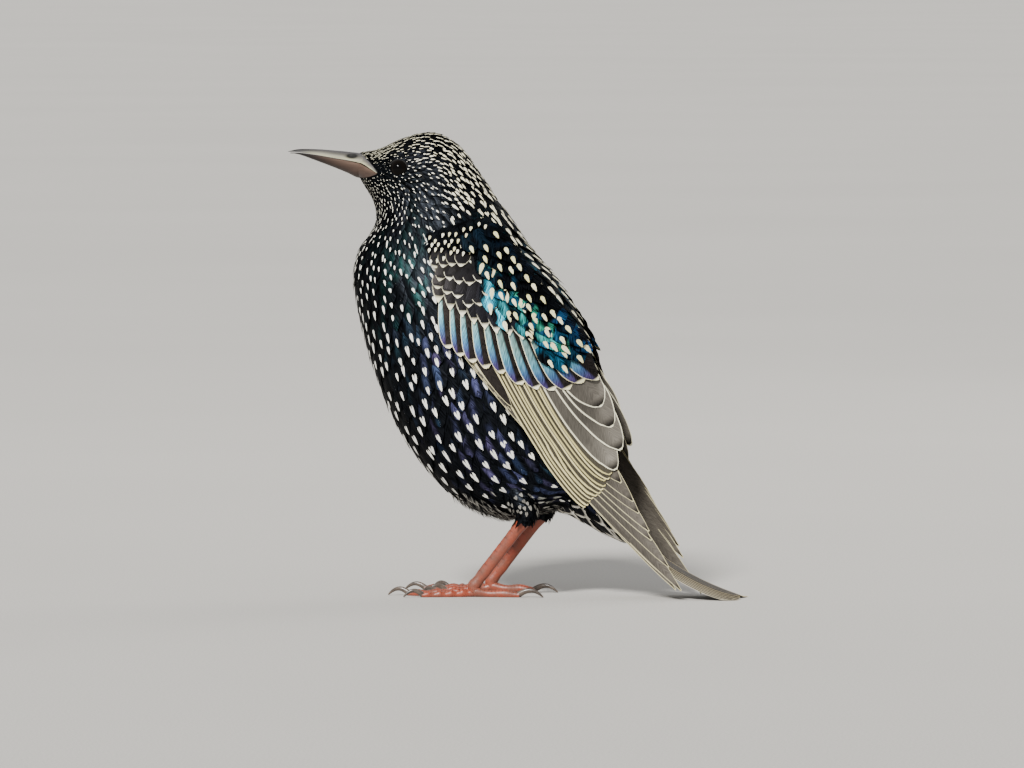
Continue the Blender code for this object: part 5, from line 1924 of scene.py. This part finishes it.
@dataclass
class Leg:
    """One leg: scaled shank, foot with four toes, and claws."""

    side: Side
    out: float = 12.0
    ankle: Pair = (3.6, 24.4)
    ball: Pair = (-12.7, 3.4)
    stub: float = 3.4
    depth: float = 3.6
    width: float = 2.8
    toes: tuple[Toe, ...] = (
        Toe("inner", -24.0, 15.0, 6.2, 1.15, 2),
        Toe("middle", -2.0, 21.5, 7.0, 1.25, 3),
        Toe("outer", 20.0, 16.5, 6.2, 1.15, 4),
        Toe("hind", 184.0, 14.5, 8.2, 1.35, 1),
    )
    skin: MottledFinish = MottledFinish(
        "scaly_orange_leg_skin", "8E3E28", "6E4032", "3A1810", roughness=0.42, patch_mm=4.0, grain_mm=0.5,
        subsurface=0.15,
    )
    horn: MottledFinish = MottledFinish("dark_claw_horn", "3A332E", "574B42", roughness=0.3, patch_mm=2.0)

    def build(self) -> None:
        """Builds shank, foot and claws."""
        ankle, ball = (np.array((x, self.side.value * self.out, z)) for x, z in (self.ankle, self.ball))
        axis = (ball - ankle) / np.linalg.norm(ball - ankle)
        self._shank(ankle, ball, axis)
        self._foot(ball, axis)

    @staticmethod
    def _plates(step: Array, phi: Array) -> tuple[Array, Array]:
        """Where plates stand out, and the dark seams between them.

        A plate fades with the root of the cosine round to the back; a seam is a bell about each
        plate's start.

        Args:
            step: Place within the plate, as a share of it.
            phi: Angle off the plated side.

        Returns:
            How far a place faces the plated side, and the seams' share there.
        """
        ahead = np.clip(np.cos(phi), 0, 1) ** 0.5
        return ahead, 0.8 * ahead * bell(np.minimum(step, 1 - step), 0, 0.09)

    def _shank(self, ankle: Array, ball: Array, axis: Array) -> None:
        """The shank: a deep oval with overlapping plates down its front, fading to a smooth back.

        Args:
            ankle: Top of the shank.
            ball: The ball of the foot.
            axis: Direction from the one to the other.
        """
        scutes, sides = 9, 36
        down, phi = ring_grid(np.linspace(0, 1, scutes * 16 + 1), sides)
        step = (down * scutes) % 1.0
        ahead, seams = self._plates(step, phi)
        plate = 0.12 * ahead * smoothstep(step / 0.14) * (1 - 0.7 * step)
        swell = 0.5 * bell(down, 0, 0.12) + 0.15 * smoothstep((down - 0.75) / 0.25)
        narrow = 0.25 * smoothstep((down - 0.86) / 0.14)
        deep = self.depth / 2 + swell + plate - narrow
        wide = self.width / 2 + 0.8 * swell + 0.5 * plate - 0.4 * narrow
        centres = ankle + axis * (np.linalg.norm(ball - ankle) - self.stub + 0.8) * down[:, :1]
        front = np.array((axis[2], 0.0, -axis[0]))
        mesh = tube_mesh(f"shank_{self.side.word}", swept(centres, front, Y_AXIS, deep, wide, sides))
        write_rings(mesh, scute=seams)
        show(mesh, self.skin.build(), (f"tarsus_{self.side.word}",))

    def _foot(self, ball: Array, axis: Array) -> None:
        """The instep, then toes and claws, all pressed flat on the floor.

        Args:
            ball: The ball of the foot.
            axis: Direction of the shank.
        """
        neck = [ball - axis * self.stub * s for s in (1.0, 0.66, 0.33, 0.0)] + [ball + (0.2, 0, -1.9)]
        down = np.linspace(0, 1, 30)
        path, radius = curve_at(neck, down), curve_at(((1.7,), (1.8,), (1.95,), (2.0,), (1.8,)), down)
        front = np.cross(self._lengthways(path), Y_AXIS)
        tubes = {"instep": (swept(path, front, Y_AXIS, radius, radius * 0.9, 24), np.zeros((30, 24)))}
        for toe in self.toes:
            tubes[toe.name] = self._toe(ball, toe)
            self._claw(ball, toe)
        for name, (rings, seams) in tubes.items():
            rings[..., 2] = np.maximum(rings[..., 2], 0.0)
            mesh = tube_mesh(f"toe_{name}_{self.side.word}", rings)
            write_rings(mesh, scute=seams)
            nodes = (f"foot_{self.side.word}",) if name == "instep" else ()
            show(mesh, self.skin.build(), nodes)

    @staticmethod
    def _lengthways(path: Array) -> Array:
        """Direction of a path at each of its points."""
        step = np.gradient(path, axis=0)
        return step / np.linalg.norm(step, axis=1)[:, None]

    def _toe(self, ball: Array, toe: Toe) -> tuple[Array, Array]:
        """Rings of one toe: swollen pads at the joints, and short overlapping plates on top.

        Args:
            ball: The ball of the foot.
            toe: Which toe.

        Returns:
            Array of ring, point and coordinate, and the seams between the plates.
        """
        sides = 24
        at, phi = ring_grid(np.linspace(0, 1, 90), sides)
        way, size = toe.way(self.side), toe.radius * (1.12 - 0.32 * at) * toe.pads(at)
        centres = ball * (1, 1, 0) + way * toe.length * at[:, :1]
        centres[:, 2] = (0.66 * size + 0.5 * (1 - at) ** 3)[:, 0]
        step = (at * toe.length / 1.15) % 1.0
        above, seams = self._plates(step, phi)
        plate = 0.13 * above * smoothstep(step / 0.2) * (1 - 0.6 * step)
        return swept(centres, UP, np.cross(way, UP), size + plate, size + 0.3 * plate, sides), seams

    def _claw(self, ball: Array, toe: Toe) -> None:
        """One claw: an arched, tapering tube, narrower than deep, with its tip near the floor.

        Args:
            ball: The ball of the foot.
            toe: The toe that it ends.
        """
        way, base = toe.way(self.side), toe.radius * 0.80 * float(toe.pads(1.0))
        curl = np.linspace(0, 1, 40)
        high = 0.66 * base
        rise = 1.9 * np.sin(math.pi * np.minimum(curl * 1.05, 1)) * (1 - 0.3 * curl)
        reach = toe.length - 0.6 + (toe.claw + 1.064) * curl * (1 - 0.12 * curl**3)
        centres = ball * (1, 1, 0) + way * reach[:, None]
        centres[:, 2] = high + rise - (high - 0.25) * curl**2
        size = (0.95 * (1 - curl) ** 0.75 * base + 0.16)[:, None]
        side = np.cross(way, UP)
        rings = swept(centres, np.cross(side, self._lengthways(centres)), side, size, size * 0.8, 20)
        rings[..., 2] = np.maximum(rings[..., 2], 0.0)
        name = f"claw_{toe.name}_{self.side.word}"
        show(tube_mesh(f"{name}_horn", rings), self.horn.build(), (name,))


# Studio


@dataclass
class Studio:
    """Pale floor, soft lights and the camera at the photo's angle."""

    azimuth_deg: float = 13.0
    elevation_deg: float = 3.0
    distance: float = 3.0
    frame_width: float = 0.322
    sensor: float = 36.0
    centre: Pair = (-2.1, 66.4)

    def build(self) -> None:
        """Builds the floor, the lights and the camera."""
        self._floor()
        self._lights()
        self._camera()

    @staticmethod
    def _place(name: str, data: Any, facing: Vector | None = None) -> bpy.types.Object:
        """Puts an object in the scene.

        Args:
            name: The object's name.
            data: Its mesh, light or camera.
            facing: Direction that its back turns to.

        Returns:
            The object.
        """
        thing = bpy.data.objects.new(name, data)
        bpy.context.scene.collection.objects.link(thing)
        if facing is not None:
            thing.rotation_euler = facing.to_track_quat("Z", "Y").to_euler()
        return thing

    def _camera(self) -> None:
        """A long lens far off, as the photo's, aimed so that the bird sits where it does there."""
        a, e = math.radians(self.azimuth_deg), math.radians(self.elevation_deg)
        back = Vector((math.sin(a) * math.cos(e), -math.cos(a) * math.cos(e), math.sin(e)))
        right = Vector((math.cos(a), math.sin(a), 0))
        data = bpy.data.cameras.new("camera")
        data.sensor_width = self.sensor
        data.lens = self.sensor * self.distance / self.frame_width
        data.clip_end = 100
        camera = self._place("camera", data, back)
        target = right * self.centre[0] * MM + Vector((0, 0, self.centre[1] * MM))
        camera.location = target + back * self.distance
        bpy.context.scene.camera = camera

    def _floor(self) -> None:
        """A wide disc of matt paper under the bird."""
        radius, round_ = ring_grid(np.array((10.0, 100.0, 1000.0, 9000.0, 60000.0)), 64)
        top = np.stack((radius * np.cos(round_), radius * np.sin(round_), -0.02 + 0 * radius), -1)
        mesh = tube_mesh("floor", np.concatenate((top, top[::-1] - (0, 0, 2.0))))
        paper = MottledFinish(
            "matt_pale_paper", "B4B1AC", "B1AEA9", roughness=0.9, patch_mm=400, grain_mm=0.7, bump_mm=0.01
        )
        mesh.materials.append(paper.build())
        self._place("floor", mesh)

    def _lights(self) -> None:
        """A broad, far key from the upper left front, a soft rim from behind and a plain pale world."""
        key = bpy.data.lights.new("key", "SUN")
        key.energy, key.angle, key.color = 7.2, math.radians(12), (1.0, 0.985, 0.95)
        self._place("key", key, Vector((-0.12, -0.80, 0.62)))
        rim = bpy.data.lights.new("rim", "AREA")
        rim.size, rim.energy, rim.color = 0.7, 5.0, (1.0, 0.98, 0.95)
        hung = Vector((0.5, 1.0, 0.9))
        self._place("rim", rim, hung - Vector((0, 0, 0.07))).location = hung
        world = bpy.data.worlds.new("studio")
        world.use_nodes = True
        sky = world.node_tree.nodes["Background"].inputs
        sky[0].default_value, sky[1].default_value = (0.97, 0.985, 1.0, 1), 0.55
        bpy.context.scene.world = world


def main() -> None:
    """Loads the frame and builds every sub-assembly in order."""
    logging.basicConfig(level=logging.INFO, format="%(message)s")
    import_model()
    Studio().build()
    trunk = Trunk()
    coat = BodyCoat(trunk)
    coat.build_skin()
    coat.build()
    coat.build_fringe()
    for side in Side:
        Thigh(side).build()
        Wing(side, WingFace(trunk)).build()
        Eye(side, trunk).build()
        Leg(side).build()
    Tail(TailLine()).build()
    Bill(trunk).build()


if __name__ == "__main__":
    main()
